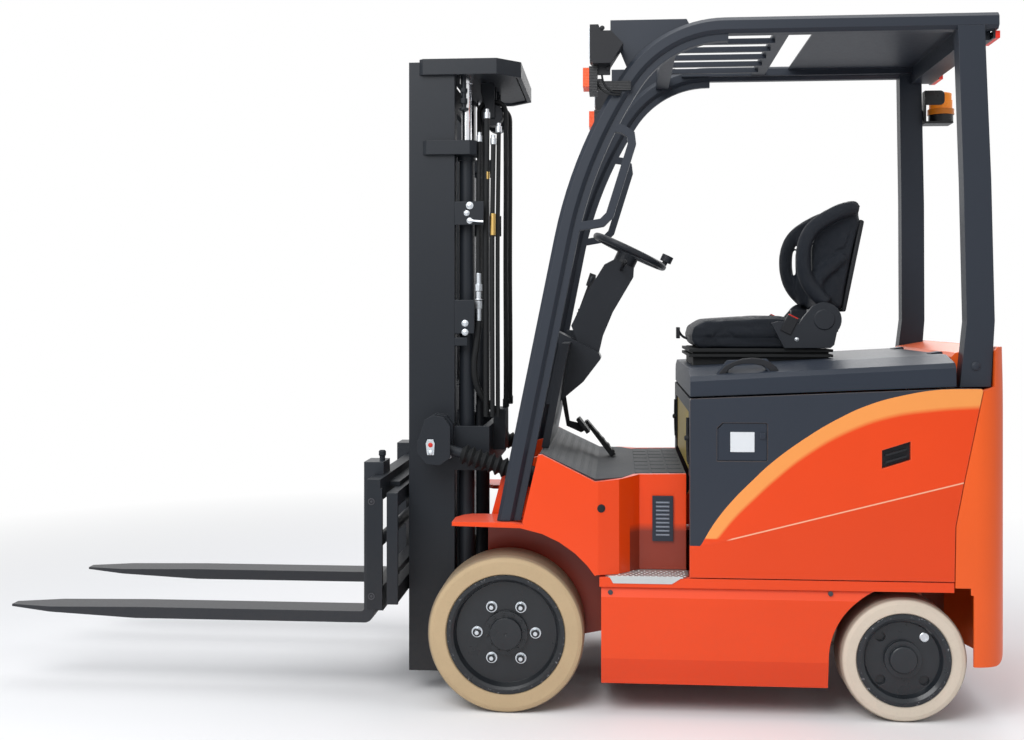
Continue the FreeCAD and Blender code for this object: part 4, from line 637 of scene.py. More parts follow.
class FORKLIFT_OT_finishes(PieceOperator, bpy.types.Operator):
    """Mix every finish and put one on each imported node"""

    bl_idname = "forklift.finishes"
    bl_label = "Finishes"

    def execute(self, context):
        colours, _, _ = settings()
        orange, black, dark = tuple(colours.orange), tuple(colours.black), tuple(colours.charcoal)
        amber, cream = tuple(colours.amber), tuple(colours.cream)
        front_r, rear_r = FRONT_CENTRE[1] / 1000, REAR_CENTRE[1] / 1000
        signals_low, signals_high = edges_of("signal_lamps")
        beacon_low, beacon_high = edges_of("beacon")
        beacon_x, beacon_y = beacon_high.x - 52.5, beacon_high.y - 52.5
        red, turn_lens, flange = (0.80, 0.03, 0.015), (0.85, 0.10, 0.025), shade(amber, 0.55)

        def round_lens(x, y, z):
            across = (x - beacon_x) ** 2.0 + (y - beacon_y) ** 2.0
            return (across < 52.9 ** 2) * (z > beacon_low.z + 39)

        FINISHES.update({
            # slope=0.6 paints a highlight on up-facing faces and shade on down-facing faces and
            # in the wheel arches.
            "orange": enamel("orange_enamel", orange, dust=0.08, slope=0.6),
            "cast": enamel("cast_enamel", (orange[0] * 1.06, orange[1] * 1.9, orange[2] * 3.0),
                           0.36, 0.05, 0.2, slope=0.6),
            "charcoal": enamel("charcoal_enamel", dark, 0.42, 0.1, 0.4, 0.05, 0.25),
            "guard": enamel("guard_powder_coat", shade(dark, 0.8), 0.42, 0.0, 0.4, 0.05, 0.3),
            "black": enamel("mast_enamel", black, 0.45, 0.1, 0.4, 0.03, 0.22),
            "fork": enamel("fork_enamel", shade(black, 1.3), 0.38, 0.1, 0.6, 0.03, 0.3),
            "signal": lamp_body("signal_lamp_case", (0.014, 0.015, 0.017), (
                (lambda x, y, z: x < signals_low.x + 21, turn_lens),
                (lambda x, y, z: x > signals_high.x - 15, red))),
            "beacon": lamp_body("beacon_case", (0.010, 0.011, 0.012), (
                (round_lens, amber),
                (lambda x, y, z: round_lens(x, y, z) * (z < beacon_low.z + 62), flange))),
            # The second colour paints the highlight on the upturned bevel; the last paints the
            # highlight line on the crease and on the edges.
            "panel": panel_paint("bay_cover_enamel", orange, tuple(colours.band),
                                 shade(dark, 0.95), (0.95, 0.62, 0.40)),
            "front_tyre": tyre_rubber("front_cream_rubber", cream, FRONT_CENTRE, front_r),
            "rear_tyre": tyre_rubber("rear_cream_rubber",
                                     (cream[0] * 1.36, cream[1] * 1.6, cream[2] * 2.2),
                                     REAR_CENTRE, rear_r),
            "front_rim": rim_paint("front_rim_black", (0.012, 0.014, 0.017), FRONT_CENTRE, 0.201),
            "rear_rim": rim_paint("rear_rim_black", (0.014, 0.017, 0.021), REAR_CENTRE, 0.153),
            "plastic": grained("black_plastic", (0.014, 0.015, 0.018)),
            "soft_plastic": grained("satin_plastic", (0.020, 0.023, 0.029), 500.0, 0.36, 0.0002),
            "rubber": grained("black_rubber", (0.009, 0.010, 0.011), 300.0, 0.62, 0.0005),
            "mat": grained("floor_mat_rubber", (0.036, 0.040, 0.046), 240.0, 0.55, 0.0008),
            "vinyl": vinyl("seat_vinyl", (0.009, 0.012, 0.018)),
            "slat": grained("grille_slat", (0.22, 0.25, 0.30), 500.0, 0.4),
            "zinc": metal("zinc_plate", (0.68, 0.72, 0.76), 0.32),
            "steel": metal("tread_steel", (0.62, 0.66, 0.66), 0.38, 0.0, 0.25, 0.85),
            "chrome": metal("chrome", (0.74, 0.75, 0.78), 0.14, 0.8, 0.1),
            "chain": metal("oiled_chain", (0.10, 0.10, 0.11), 0.36, 0.0, 0.6),
            "brass": metal("brass", (0.72, 0.48, 0.16), 0.3),
            "clear": lens("clear_lens", (0.75, 0.80, 0.85), 0.08, 120.0),
            "olive": enamel("olive_lining", tuple(colours.olive), 0.5, 0.1, 0.3, 0.1),
            "battery": grained("battery_case", (0.06, 0.06, 0.066), 200.0, 0.5),
            "sticker": enamel("blank_plate", (0.72, 0.75, 0.78), 0.35, 0.0, 0.1, 0.3),
            "button": grained("red_button", (0.55, 0.03, 0.02), 500.0, 0.4),
        })
        wearing = {
            "orange": ("chassis_frame", "front_cowl"),
            "cast": ("counterweight",),
            "charcoal": ("hood", "vent_grilles", "charge_flap"),
            "guard": ("guard_sides", "guard_roof"),
            "black": ("drive_axle", "steer_axle", "knuckle_left", "knuckle_right", "bay_front",
                      "outer_mast", "inner_mast", "lift_barrels", "carriage",
                      "sideshift_frame", "tilt_barrels", "tilt_rods"),
            "fork": ("forks",),
            "panel": ("side_panel_left", "side_panel_right"),
            "front_tyre": ("front_tyre_left", "front_tyre_right"),
            "rear_tyre": ("rear_tyre_left", "rear_tyre_right"),
            "front_rim": ("front_rim_left", "front_rim_right"),
            "rear_rim": ("rear_rim_left", "rear_rim_right"),
            "plastic": ("head_lamps", "controls"),
            "signal": ("signal_lamps",),
            "beacon": ("beacon",),
            "soft_plastic": ("dash_console", "steering_wheel"),
            "rubber": ("seat_base", "tilt_boots", "mast_hoses"),
            "mat": ("floor_plate",),
            "vinyl": ("seat_cushion", "seat_back"),
            "steel": ("step_plates",),
            "chrome": ("lift_rods", "free_lift_head"),
            "chain": ("lift_chains",),
            "battery": ("battery",),
        }
        dressed = set()
        for key, nodes in wearing.items():
            for node in nodes:
                dress(node, FINISHES[key])
                dressed.add(node)
        missing = set(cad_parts) - dressed
        if missing:
            raise RuntimeError("no finish for %s" % sorted(missing))
        return {"FINISHED"}


class FORKLIFT_OT_wheels(PieceOperator, bpy.types.Operator):
    """Wheel nuts, hub bolts and caps"""

    bl_idname = "forklift.wheels"
    bl_label = "Wheel fittings"

    def execute(self, context):
        _, sizes, _ = settings()
        nut = sizes.wheel_nut * 1000
        for side, sign in (("left", -1), ("right", 1)):
            out = (0, sign, 0)
            face = max(abs(corner.y) for corner in edges_of("front_rim_" + side))
            disc, flange, hub = (sign * (face - deep) for deep in (36, 22, 10))
            nuts = Form()
            for place in ring_of(6, 100, FRONT_CENTRE, disc):
                nuts.lathe([(nut * 1.27, 0), (nut * 1.27, 3), (nut, 3), (nut * 0.97, 11),
                            (nut * 0.75, 15), (nut * 0.5, 15.5), (nut * 0.46, 19), (0, 19.5)],
                           place, out, 24)
            nuts.piece("front_nuts_" + side, "front_wheel_" + side, finish("zinc"), "chrome_rod")
            ring = Form()
            for place in ring_of(12, 65, FRONT_CENTRE, flange, 8):
                ring.hex_head(place, out, 4.6, 4.0)
            ring.lathe([(55, -9), (55, 0), (53, 3), (20, 5), (5, 5), (4, 3.5), (0, 3.5)],
                       (FRONT_CENTRE[0], hub, FRONT_CENTRE[1]), out, 40)
            ring.piece("front_hub_" + side, "front_wheel_" + side, finish("front_rim"),
                       "black_rim", 0.4)
            face = max(abs(corner.y) for corner in edges_of("rear_rim_" + side))
            plug = Form()
            place = next(ring_of(4, 102, REAR_CENTRE, sign * (face - 28.5), 45))
            plug.lathe([(16.5, 0), (16.5, 2), (14, 4), (9, 4), (9, 3), (0, 3)], place, out, 24)
            plug.piece("rear_plug_" + side, "rear_wheel_" + side, finish("zinc"), "chrome_rod")
        return {"FINISHED"}


def boot_rings(start, end, folds, inner, outer):
    """Half section of a bellows from one end to the other."""
    profile = []
    pitch = (end - start) / folds
    for i in range(folds):
        at = start + pitch * i
        profile += [(inner, at), (inner + 1.5, at + pitch * 0.12),
                    (outer - 1.5, at + pitch * 0.40), (outer, at + pitch * 0.5),
                    (outer - 1.5, at + pitch * 0.60), (inner + 1.5, at + pitch * 0.88)]
    return profile + [(inner, end)]


def soften_foam(thing, cap, pressure=4.0, steps=20):
    """Swell a piece like foam under a tight cover, by no more than the cap."""
    mesh = thing.data
    before = [v.co.copy() for v in mesh.vertices]
    cloth = thing.modifiers.new("foam", "CLOTH")
    cloth.settings.use_pressure = True
    cloth.settings.uniform_pressure_force = pressure
    cloth.settings.effector_weights.gravity = 0
    cloth.settings.quality = 5
    scene = bpy.context.scene
    for number in range(1, steps + 1):
        scene.frame_set(number)
    graph = bpy.context.evaluated_depsgraph_get()
    swollen = bpy.data.meshes.new_from_object(thing.evaluated_get(graph))
    places = [v.co.copy() for v in swollen.vertices]
    thing.modifiers.remove(cloth)
    scene.frame_set(1)
    bpy.data.meshes.remove(swollen)
    for vert, old, new in zip(mesh.vertices, before, places):
        move = new - old
        if move.length > cap:
            move *= cap / move.length
        vert.co = old + move


def foam(name, body, form, material, slot, cap, pinch, voxel=6.0, smooth=6):
    """Fuse rough shapes to one skin, smooth it, swell it, then press in the sewn lines."""
    thing = form.piece(name, body, material, slot, ride=False)
    remesh = thing.modifiers.new("skin", "REMESH")
    remesh.mode = "VOXEL"
    remesh.voxel_size = voxel / 1000
    even = thing.modifiers.new("even", "SMOOTH")
    even.iterations = smooth
    even.factor = 0.5
    graph = bpy.context.evaluated_depsgraph_get()
    skin = bpy.data.meshes.new_from_object(thing.evaluated_get(graph))
    thing.modifiers.clear()
    old = thing.data
    thing.data = skin
    bpy.data.meshes.remove(old)
    soften_foam(thing, cap / 1000)
    for vert in thing.data.vertices:
        at = (vert.co - Vector((AXLE_X, 0, 0))) * 1000
        vert.co -= vert.normal * pinch(at.x, at.y, at.z) / 1000
    thing.data.shade_smooth()
    last = thing.modifiers.new("fine", "SUBSURF")
    last.levels = last.render_levels = 1
    if not thing.data.materials:
        thing.data.materials.append(material)
    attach(thing, body)
    return thing


def groove(distance, wide, deep):
    return deep * math.exp(-(distance / wide) ** 2)


class FORKLIFT_OT_seat(PieceOperator, bpy.types.Operator):
    """Moulded seat: cushion, bucket back with side loops, recline covers and buckles"""

    bl_idname = "forklift.seat"
    bl_label = "Seat"

    def execute(self, context):
        _, sizes, _ = settings()
        swell = sizes.swell * 1000
        pad = Form()
        outline = [(636, 1266), (650, 1240), (672, 1231), (1100, 1231), (1134, 1250),
                   (1128, 1300), (1080, 1322), (960, 1340), (900, 1341), (690, 1328),
                   (646, 1306)]
        pad.prism(outline, -226, 226)
        for sign in BOTH:
            pad.tube([(676, sign * 196, 1302), (760, sign * 204, 1316), (900, sign * 206, 1326),
                      (1040, sign * 206, 1318)], 20)
        cushion = foam("seat_cushion_foam", "hood", pad, finish("vinyl"), "black_vinyl",
                       cap=swell, pinch=lambda x, y, z: (
                           groove(abs(y) - 165, 5, 5) * (z > 1290) * (x > 690)
                           + groove(x - 860, 5, 4) * (z > 1290) * (abs(y) < 165)
                           + groove(z - 1268, 4, 3) * (z < 1285)))
        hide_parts("seat_cushion")

        back = Form()
        shell = [(1112, 1372), (1150, 1352), (1176, 1372), (1244, 1690), (1236, 1736),
                 (1206, 1744), (1176, 1728), (1142, 1560)]
        back.prism(shell, -196, 196)
        for sign in BOTH:
            y = sign * 226
            loop = [(1118, y, 1392), (1072, y, 1430), (1036, y, 1500), (1034, y, 1590),
                    (1064, y, 1660), (1130, y, 1706), (1190, y, 1732), (1226, sign * 200, 1738)]
            back.tube(loop, 27, 14)
            back.tube([(1110, sign * 200, 1390), (1080, sign * 205, 1440),
                       (1100, sign * 205, 1500), (1190, sign * 196, 1560)], 24, 14)
            back.prism([(1066, 1450), (1110, 1376), (1172, 1376), (1236, 1690), (1206, 1728),
                        (1140, 1700), (1084, 1650), (1072, 1590), (1070, 1500)],
                       sign * 194 - 12, sign * 194 + 12)
        back.tube([(1214, -226, 1734), (1222, -110, 1738), (1222, 110, 1738), (1214, 226, 1734)],
                  19, 14)
        rest = foam("seat_back_foam", "hood", back, finish("vinyl"), "black_vinyl",
                    cap=swell * 0.6, smooth=8, pinch=lambda x, y, z: (
                        groove(abs(y) - 130, 5, 4) * (abs(y) < 160) * (z < 1700)
                        + groove(z - 1540, 5, 4) * (abs(y) < 130)))
        plate = Form()
        plate.prism([(1180, 1362), (1196, 1362), (1262, 1688), (1246, 1694)], -190, 190)
        plate.piece("seat_back_shell", "hood", finish("plastic"), "black_vinyl", 5)
        covers = Form()
        arc = [math.radians(angle) for angle in range(150, -50, -12)]
        outline = ([(923, 1321), (948, 1328), (1020, 1320), (1036, 1344)]
                   + [(1107 + 62 * math.cos(a), 1333 + 62 * math.sin(a)) for a in arc]
                   + [(1143, 1244), (1130, 1233), (968, 1232)])
        covers.prism(outline, -263, -242)
        covers.lathe([(37, 0), (37, 2.5), (34, 5), (0, 5)], (1108, -262.5, 1334), OUTWARD, 36)
        covers.block(1056, 1160, -244, -196, 1290, 1370)
        covers.mirrored()
        shells = covers.piece("seat_recline_covers", "hood", finish("soft_plastic"),
                              "black_vinyl", 3)
        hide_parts("seat_back")
        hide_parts("seat_back")
        lean = (Matrix.Translation((986, 0, 1316)) @ Matrix.Rotation(0.46, 4, "Y")
                @ Matrix.Translation((-986, 0, -1316)))
        buckle = Form().block(966, 1006, -269, -244, 1284, 1346).mirrored().turned(lean)
        buckle.piece("seat_buckles", "hood", finish("plastic"), "black_vinyl", 2)
        press = Form().block(968, 1004, -267, -248, 1344, 1350).mirrored().turned(lean)
        press.piece("seat_buckle_buttons", "hood", finish("button"), "black_vinyl", 1)
        screws = Form()
        screws.dome_bolt((1012, -263, 1264), OUTWARD, 6, 4)
        screws.mirrored()
        screws.piece("seat_screws", "hood", finish("zinc"), "chrome_rod")
        lever = Form()
        lever.tube([(640, -20, 1262), (618, -20, 1266), (608, -20, 1292)], 5)
        lever.block(599, 612, -46, 6, 1262, 1304)
        lever.piece("seat_slide_lever", "hood", finish("plastic"), "black_vinyl", 3)
        return {"FINISHED"}


class FORKLIFT_OT_body(PieceOperator, bpy.types.Operator):
    """Small fittings of the body: bolts, caps, handles, tread lugs and floor pads"""

    bl_idname = "forklift.body"
    bl_label = "Body fittings"

    def execute(self, context):
        _, sizes, _ = settings()
        bolts = Form()
        for x, z in ((355, 418), (1083, 426)):
            bolts.dome_bolt((x, -538, z), OUTWARD, 7, 2)
        bolts.mirrored()
        bolts.piece("skirt_bolts", "chassis", finish("chain"), "chrome_rod")
        plugs = Form()
        plugs.lathe([(14, -1), (14, 1.5), (11, 2.2), (0, 2.2)], (324, -536.6, 699),
                    (0.324, -0.946, 0.0), 28)
        plugs.mirrored()
        plugs.piece("cowl_plugs", "chassis", finish("plastic"), "black_plastic")
        lugs = Form()
        rows = sizes.tread_rows
        for row in range(rows):
            y = -534 + row * 20
            count = 13 - (row > 1) * 1 - (row > 2) * 2
            for i in range(count):
                x = 604 - i * 19 - (row % 2) * 9.5
                lugs.lathe([(6, 0), (5, 1.4), (2.5, 2.2), (0, 2.3)], (x, y, 474), UPWARD, 10)
        lugs.mirrored()
        lugs.piece("step_lugs", "chassis", finish("steel"), "tread_steel")
        pads = Form()
        slope = (803 - 795) / (617 - 304)
        for i in range(3):
            for j in range(7):
                x0, y0 = 440 + i * 58, -385 + j * 112
                z = 795 + (x0 + 24 - 304) * slope
                pads.block(x0, x0 + 50, y0, y0 + 98, z - 1, z + 2.2)
        for i in range(6):
            x = 138 + i * 27
            z = 880 - (x - 124) * (85 / 180)
            for j in range(30):
                y = -485 + j * 33
                if abs(y + 10) > 478:
                    continue
                pads.prism([(x, z - 3), (x + 14, z - 9.6), (x + 15, z - 6.6), (x + 1, z)],
                           y, y + 20)
        pads.piece("floor_pads", "chassis", finish("mat"), "black_rubber", 0.8)
        lining = Form()
        low, high = edges_of("bay_front")
        lining.block(low.x + 6, low.x + 9, -440, 440, low.z + 6, high.z - 52)
        lining.piece("bay_lining", "chassis", finish("olive"), "black_paint", 1)
        latch = Form()
        for sign in BOTH:
            y = sign * 452
            latch.tube([(low.x - 2, y, 850), (low.x - 6, y, 900), (low.x - 4, y, 1000)], 5)
            latch.lathe([(9, 0), (9, 12), (5, 15), (0, 15)], (low.x, y, 930), (-1, 0, 0), 16)
            latch.block(low.x - 4, low.x + 6, y - 14, y + 14, 842, 868)
        latch.piece("bay_latches", "chassis", finish("plastic"), "black_plastic", 1)
        louvres = Form()
        low, high = edges_of("vent_grilles")
        for i in range(9):
            z = low.z + 19 + 13.89 * i
            louvres.prism([(low.y - 1.2, z), (low.y + 3.5, z + 1), (low.y + 3.5, z + 6.2),
                           (low.y - 1.2, z + 5.2)], low.x + 12.5, high.x - 12.5, "YZ")
        louvres.mirrored()
        louvres.piece("grille_louvres", "chassis", finish("slat"), "black_plastic")
        strap = Form()
        strap.prism([(712, 1138), (722, 1160), (740, 1180), (766, 1193), (800, 1203), (830, 1206),
                     (862, 1203), (890, 1193), (912, 1175), (926, 1154), (898, 1150), (884, 1168),
                     (862, 1180), (830, 1186), (800, 1185), (772, 1178), (752, 1164),
                     (738, 1142)], -499, -471)
        strap.piece("hood_handle_strap", "hood", finish("plastic"), "black_plastic", 3)
        latch = Form()
        latch.prism([(851, 946), (870, 960), (872, 936)], -542.4, -538)
        latch.piece("flap_latch_knob", "charge_flap", finish("soft_plastic"), "black_plastic", 2)
        grips = Form()
        for z in (861, 884):
            grips.prism([(1262, z - 2), (1331, z + 20), (1331, z + 26), (1262, z + 5)],
                        -539, -528)
        grips.prism([(1250, 842), (1343, 872), (1343, 933), (1250, 903)], -527, -526)
        grips.mirrored()
        grips.piece("side_grips", "chassis", finish("plastic"), "black_plastic", 1)
        sticker = Form()
        sticker.block(754, 834, -538.6, -537.8, 893, 960)
        sticker.piece("flap_blank_plate", "charge_flap", finish("sticker"), "black_plastic", 0.3)
        caps = Form()
        caps.dome_bolt((1562, -505, 1180), OUTWARD, 13, 5)
        caps.mirrored()
        caps.piece("pillar_caps", "chassis", finish("guard"), "charcoal_paint")
        return {"FINISHED"}


class FORKLIFT_OT_guard(PieceOperator, bpy.types.Operator):
    """Lamps, cables and the pillar's grip on the overhead guard"""

    bl_idname = "forklift.guard"
    bl_label = "Guard fittings"

    def execute(self, context):
        low, high = edges_of("head_lamps")
        glass = Form()
        glass.prism([(low.x + 0.5, low.z + 40), (low.x - 3, low.z + 48), (low.x - 3, high.z - 14),
                     (low.x + 0.5, high.z - 6)], low.y + 8, low.y + 76)
        glass.mirrored()
        glass.piece("work_lamp_glass", "chassis", finish("clear"), "lamp_lens", 1)
        fins = Form()
        for i in range(6):
            z = high.z - 8 - 5 * i
            fins.block(low.x + 30, low.x + 44, low.y + 10, low.y + 74, z - 2, z)
        for x, z in ((low.x + 42, low.z + 150), (low.x + 62, low.z + 20)):
            fins.dome_bolt((x, low.y + (0 if z > 2300 else 33), z), OUTWARD, 7, 5)
        fins.mirrored()
        fins.piece("work_lamp_fins", "chassis", finish("plastic"), "black_plastic", 0.5)
        wires = Form()
        wires.tube([(324, -474, 2186), (326, -476, 2150), (346, -480, 2120), (372, -482, 2106),
                    (392, -478, 2110)], 3.5)
        wires.tube([(304, -472, 2178), (306, -474, 2146), (330, -482, 2112), (366, -484, 2098),
                    (388, -478, 2102)], 3.5)
        wires.mirrored()
        wires.piece("lamp_wires", "chassis", finish("rubber"), "black_rubber")
        bolts = Form()
        for x, z in ((314, 2036), (300, 1990)):
            bolts.dome_bolt((x, -444 - (1 - z / 2300) * 30, z), (0.9, -0.3, 0), 7, 4)
        bolts.mirrored()
        bolts.piece("grab_handle_bolts", "chassis", finish("guard"), "charcoal_paint")
        grip = Form()
        grip.tube([(1560, 452, 2104), (1545, 440, 2080), (1548, 432, 1990), (1548, 434, 1900),
                   (1562, 450, 1850)], 11, 14)
        for z in (2096, 1856):
            grip.lathe([(16, 0), (16, 8), (12, 12), (0, 13)], (1566, 438, z), (-0.3, -1, 0), 20)
        grip.piece("pillar_grip", "chassis", finish("plastic"), "black_plastic")
        knob = Form()
        knob.dome_bolt((1552, 430, 2040), OUTWARD, 9, 12)
        knob.piece("pillar_horn_button", "chassis", finish("button"), "black_plastic")
        return {"FINISHED"}


class FORKLIFT_OT_mast(PieceOperator, bpy.types.Operator):
    """Chains, hoses, boots, bolts and fittings of the mast"""

    bl_idname = "forklift.mast"
    bl_label = "Mast fittings"

    CHAIN_SIDES = (-71, 71)
    LINK_WIDTH = 11
    OUTER_PLATES = (-8, -3.5, 3.5, 8)
    INNER_PLATES = (-5.8, -1.3, 1.3, 5.8)
    # Place across the truck, radius and upper end of each supply hose beside the near cylinder.
    SUPPLY_HOSES = ((-118, -300, 8, 1975), (-92, -290, 10, 2060), (-68, -300, 9, 1965),
                    (-50, -284, 8, 2010))

    def execute(self, context):
        _, sizes, _ = settings()
        self.chains(sizes.chain_pitch * 1000)
        self.hoses(sizes.hose * 1000)
        self.boots()
        self.fittings()
        return {"FINISHED"}

    def link(self, form, number, x, y, low, high):
        """One leaf-chain link along Z; every second link has its plates wider apart."""
        pitch = high - low
        middle = (low + high) / 2
        edge, waist = self.LINK_WIDTH * 0.5, self.LINK_WIDTH * 0.34
        for across in self.OUTER_PLATES if number % 2 else self.INNER_PLATES:
            form.prism([(x - edge, low - pitch * 0.18), (x + edge, low - pitch * 0.18),
                        (x + edge, low + pitch * 0.3), (x + waist, middle),
                        (x + edge, high - pitch * 0.3), (x + edge, high + pitch * 0.18),
                        (x - edge, high + pitch * 0.18), (x - edge, high - pitch * 0.3),
                        (x - waist, middle), (x - edge, low + pitch * 0.3)],
                       y + across - 0.9, y + across + 0.9)

    def chains(self, pitch):
        radius, x_mid, top, front_foot, rear_foot = 48, -285, 1370, 432, 1100
        fronts, rears = Form(), Form()
        for y in self.CHAIN_SIDES:
            for form, x, low in ((fronts, x_mid - radius, front_foot),
                                 (rears, x_mid + radius, rear_foot)):
                count = round((top - low) / pitch)
                step = (top - low) / count
                for i in range(count):
                    self.link(form, i, x, y, low + step * i, low + step * (i + 1))
                for i in range(count + 1):
                    form.lathe([(3, 0), (3, 21)], (x, y - 10.5, low + step * i), (0, 1, 0), 8)
        front = fronts.piece("chain_front_runs", "carriage", finish("chain"), "chain_steel",
                             ride=False)
        rear = rears.piece("chain_rear_runs", "carriage", finish("chain"), "chain_steel",
                           ride=False)
        spot(0, 0, 2 * top - front_foot)
        spot(0, 0, front_foot)
        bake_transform(front)
        spot(0, 0, rear_foot)
        spot(0, 0, 2 * top - rear_foot)
        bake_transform(rear)
        loop = Form()
        count = 7
        chord = 2 * radius * math.sin(math.pi / count / 2)
        for y in self.CHAIN_SIDES:
            for i in range(count):
                part = Form()
                self.link(part, i, 0, y, -chord / 2, chord / 2)
                angle = math.pi * (i + 0.5) / count
                part.turned(Matrix.Translation((x_mid, 0, top))
                            @ Matrix.Rotation(-angle, 4, "Y")
                            @ Matrix.Translation((radius * math.cos(math.pi / count / 2), 0, 0)))
                mesh = bpy.data.meshes.new("part")
                part.bm.to_mesh(mesh)
                loop.bm.from_mesh(mesh)
        wound = loop.piece("chain_loops", "free_head", finish("chain"), "chain_steel")
        for piece in (front, rear, wound):
            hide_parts("lift_chains")
        nuts = Form()
        for y in self.CHAIN_SIDES:
            nuts.lathe([(9, 0), (9, 9), (6, 9), (6, 26), (9, 26), (9, 36)],
                       (x_mid - radius, y, 400), UPWARD, 6)
        nuts.piece("chain_anchors", "carriage", finish("zinc"), "chrome_rod")

    def hoses(self, radius):
        down, up = Form(), Form()
        x, z, r = -89, 2098, 50
        for y in (-97, -73, 73, 97):
            down.tube([(x + r, y, 1005), (x + r + 2, y * 1.02, 1200), (x + r - 2, y, 1500),
                       (x + r + 1, y * 0.99, 1800), (x + r, y, 2000), (x + r, y, z)],
                      radius, 12, 4, 10)
            up.tube([(x + r, y, z - 1), (x + r, y, z + r * 0.56), (x + r * 0.56, y, z + r),
                     (x, y, z + r), (x - r * 0.56, y, z + r), (x - r, y, z + r * 0.56),
                     (x - r, y, z), (x - r, y, 1900), (x - r, y, 1600), (x - r, y, 1300)],
                    radius, 12, 3, 10)
            down.lathe([(radius + 2.5, 0), (radius + 2.5, 30)], (x + r, y, 1005), UPWARD, 16)
        flexing = down.piece("hose_rear_runs", "mast", finish("rubber"), "black_rubber",
                             ride=False)
        spot(x + r, 0, 1040)
        spot(x + r, 0, z)
        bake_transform(flexing)
        over = up.piece("hose_loops", "inner", finish("rubber"), "black_rubber")
        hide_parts("mast_hoses")
        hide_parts("mast_hoses")

    def boots(self):
        heel, eye = Vector((330, 0, 704)), Vector((-271, 0, 897))
        along = (eye - heel).normalized()
        form = Form()
        for sign in BOTH:
            base = Vector((heel.x, sign * 390, heel.z))
            form.lathe(boot_rings(352, 522, 7, 24, 36) + [(19, 524)], base, along, 32)
            form.lathe([(27, 350), (27, 358)], base, along, 24)
        boots = form.piece("tilt_boots_rubber", "tilt_barrels", finish("rubber"), "black_rubber",
                           ride=False)
        start = Vector((heel.x, 0, heel.z)) + along * 356
        end = Vector((heel.x, 0, heel.z)) + along * 520
        spot(*start)
        spot(*end)
        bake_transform(boots)
        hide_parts("tilt_boots")

    def fittings(self):
        plates = Form()
        for x0, x1, z0, z1 in ((-201, -96, 1671, 1755), (-201, -130, 1284, 1404),
                               (-201, -154, 1240, 1270)):
            plates.block(x0, x1, -333, -325, z0, z1)
        plates.mirrored()
        plates.piece("mast_bolt_plates", "mast", finish("black"), "black_paint", 2)
        bolts = Form()
        for x, z, size in ((-146, 1740, 11), (-157, 1713, 8.5), (-146, 1686, 9), (-163, 1321, 10),
                           (-163, 1289, 10)):
            bolts.dome_bolt((x, -333, z), OUTWARD, size, 6)
        bolts.tube([(-142, -338, 1686), (-125, -339, 1684), (-97, -339, 1682)], 4.5)
        bolts.dome_bolt((-216, -362, 852), OUTWARD, 8, 5)
        bolts.mirrored()
        bolts.piece("mast_bolts", "mast", finish("zinc"), "chrome_rod")
        keeper = Form()
        keeper.prism([(-288, 902), (-282, 916), (-262, 916), (-256, 902), (-259, 862),
                      (-283, 862)], -438.5, -434)
        keeper.dome_bolt((-271, -438, 870), OUTWARD, 7, 4)
        keeper.mirrored()
        keeper.piece("tilt_pin_keepers", "mast", finish("zinc"), "chrome_rod", 0.6)
        dots = Form()
        dots.dome_bolt((-271, -438, 897), OUTWARD, 7, 3)
        dots.mirrored()
        dots.piece("tilt_pin_caps", "mast", finish("button"), "black_plastic")
        couplings = Form()
        for z, size, tall in ((1325, 11, 47), (1372, 14, 29), (1403, 17.5, 5), (1408, 12, 26),
                              (1436, 14.5, 25), (1461, 10.5, 39)):
            couplings.lathe([(size, 0), (size, tall)], (*self.SUPPLY_HOSES[0][:2], z), UPWARD,
                            6 if 14 <= size < 15 else 20)
        for x, y, _, top in self.SUPPLY_HOSES:
            couplings.lathe([(11, 0), (11, 22), (7, 24), (7, 34), (0, 36)],
                            (x + 3, y + 2, top - 4), UPWARD, 16)
        couplings.piece("hose_couplings", "mast", finish("zinc"), "chrome_rod", 0.8)
        lines = Form()
        coupled = self.SUPPLY_HOSES[0][0]
        lines.tube([(coupled, -300, 1330), (-124, -300, 1250), (-137, -298, 1170),
                    (-128, -290, 1090), (-92, -262, 1032), (-62, -240, 1003)], 12, 14)
        for x, y, radius, top in self.SUPPLY_HOSES:
            foot = 1500 if x == coupled else 985
            lines.tube([(x, y, foot), (x - 2, y, 1560), (x + 1, y, 1800),
                        (x + 3, y + 2, top)], radius, 12)
        lines.piece("mast_supply_hoses", "mast", finish("rubber"), "black_rubber")
        tag = Form()
        tag.lathe([(10.5, 0), (10.5, 77)], (-66.8, -300, 1636), UPWARD, 20)
        tag.lathe([(8.8, 0), (8.8, 26)], (-88, -290, 1838), UPWARD, 20)
        tag.piece("hose_tags", "mast", finish("brass"), "black_rubber")
        ceiling = Form()
        ceiling.prism([(-138, -290), (-48, -308), (10, -250), (10, 250), (-48, 308), (-138, 290)],
                      2213, 2235, "XY")
        ceiling.piece("inner_mast_top_plate", "inner", finish("black"), "black_paint", 1.5)
        stems = Form()
        stems.lathe([(8, 0), (8, 130)], (-172, -292, 2085), UPWARD, 14)
        stems.lathe([(14, 0), (14, 18)], (-172, -292, 2110), UPWARD, 6)
        stems.lathe([(14, 0), (14, 14)], (-172, -292, 2150), UPWARD, 6)
        stems.lathe([(17, 0), (17, 8)], (-172, -292, 2086), UPWARD, 20)
        stems.mirrored()
        stems.piece("mast_stop_stems", "mast", finish("black"), "black_paint", 0.5)
        knobs = Form()
        for sign in BOTH:
            knobs.lathe([(10, 0), (10, 16), (13, 20), (13, 34), (9, 38), (0, 38)],
                        (-462, sign * 327, 828), UPWARD, 20)
        knobs.piece("fork_knobs", "shifter", finish("black"), "black_paint", 0.8)
        ends = Form()
        for z in (385, 710):
            ends.lathe([(12, -1), (12, 2), (8, 2), (8, -1)], (-463, -520, z), OUTWARD, 24)
            ends.lathe([(5, -1), (5, 1.5), (0, 1.5)], (-463, -520, z), OUTWARD, 6)
        ends.mirrored()
        ends.piece("shifter_bolts", "shifter", finish("chain"), "chrome_rod")
        return {"FINISHED"}


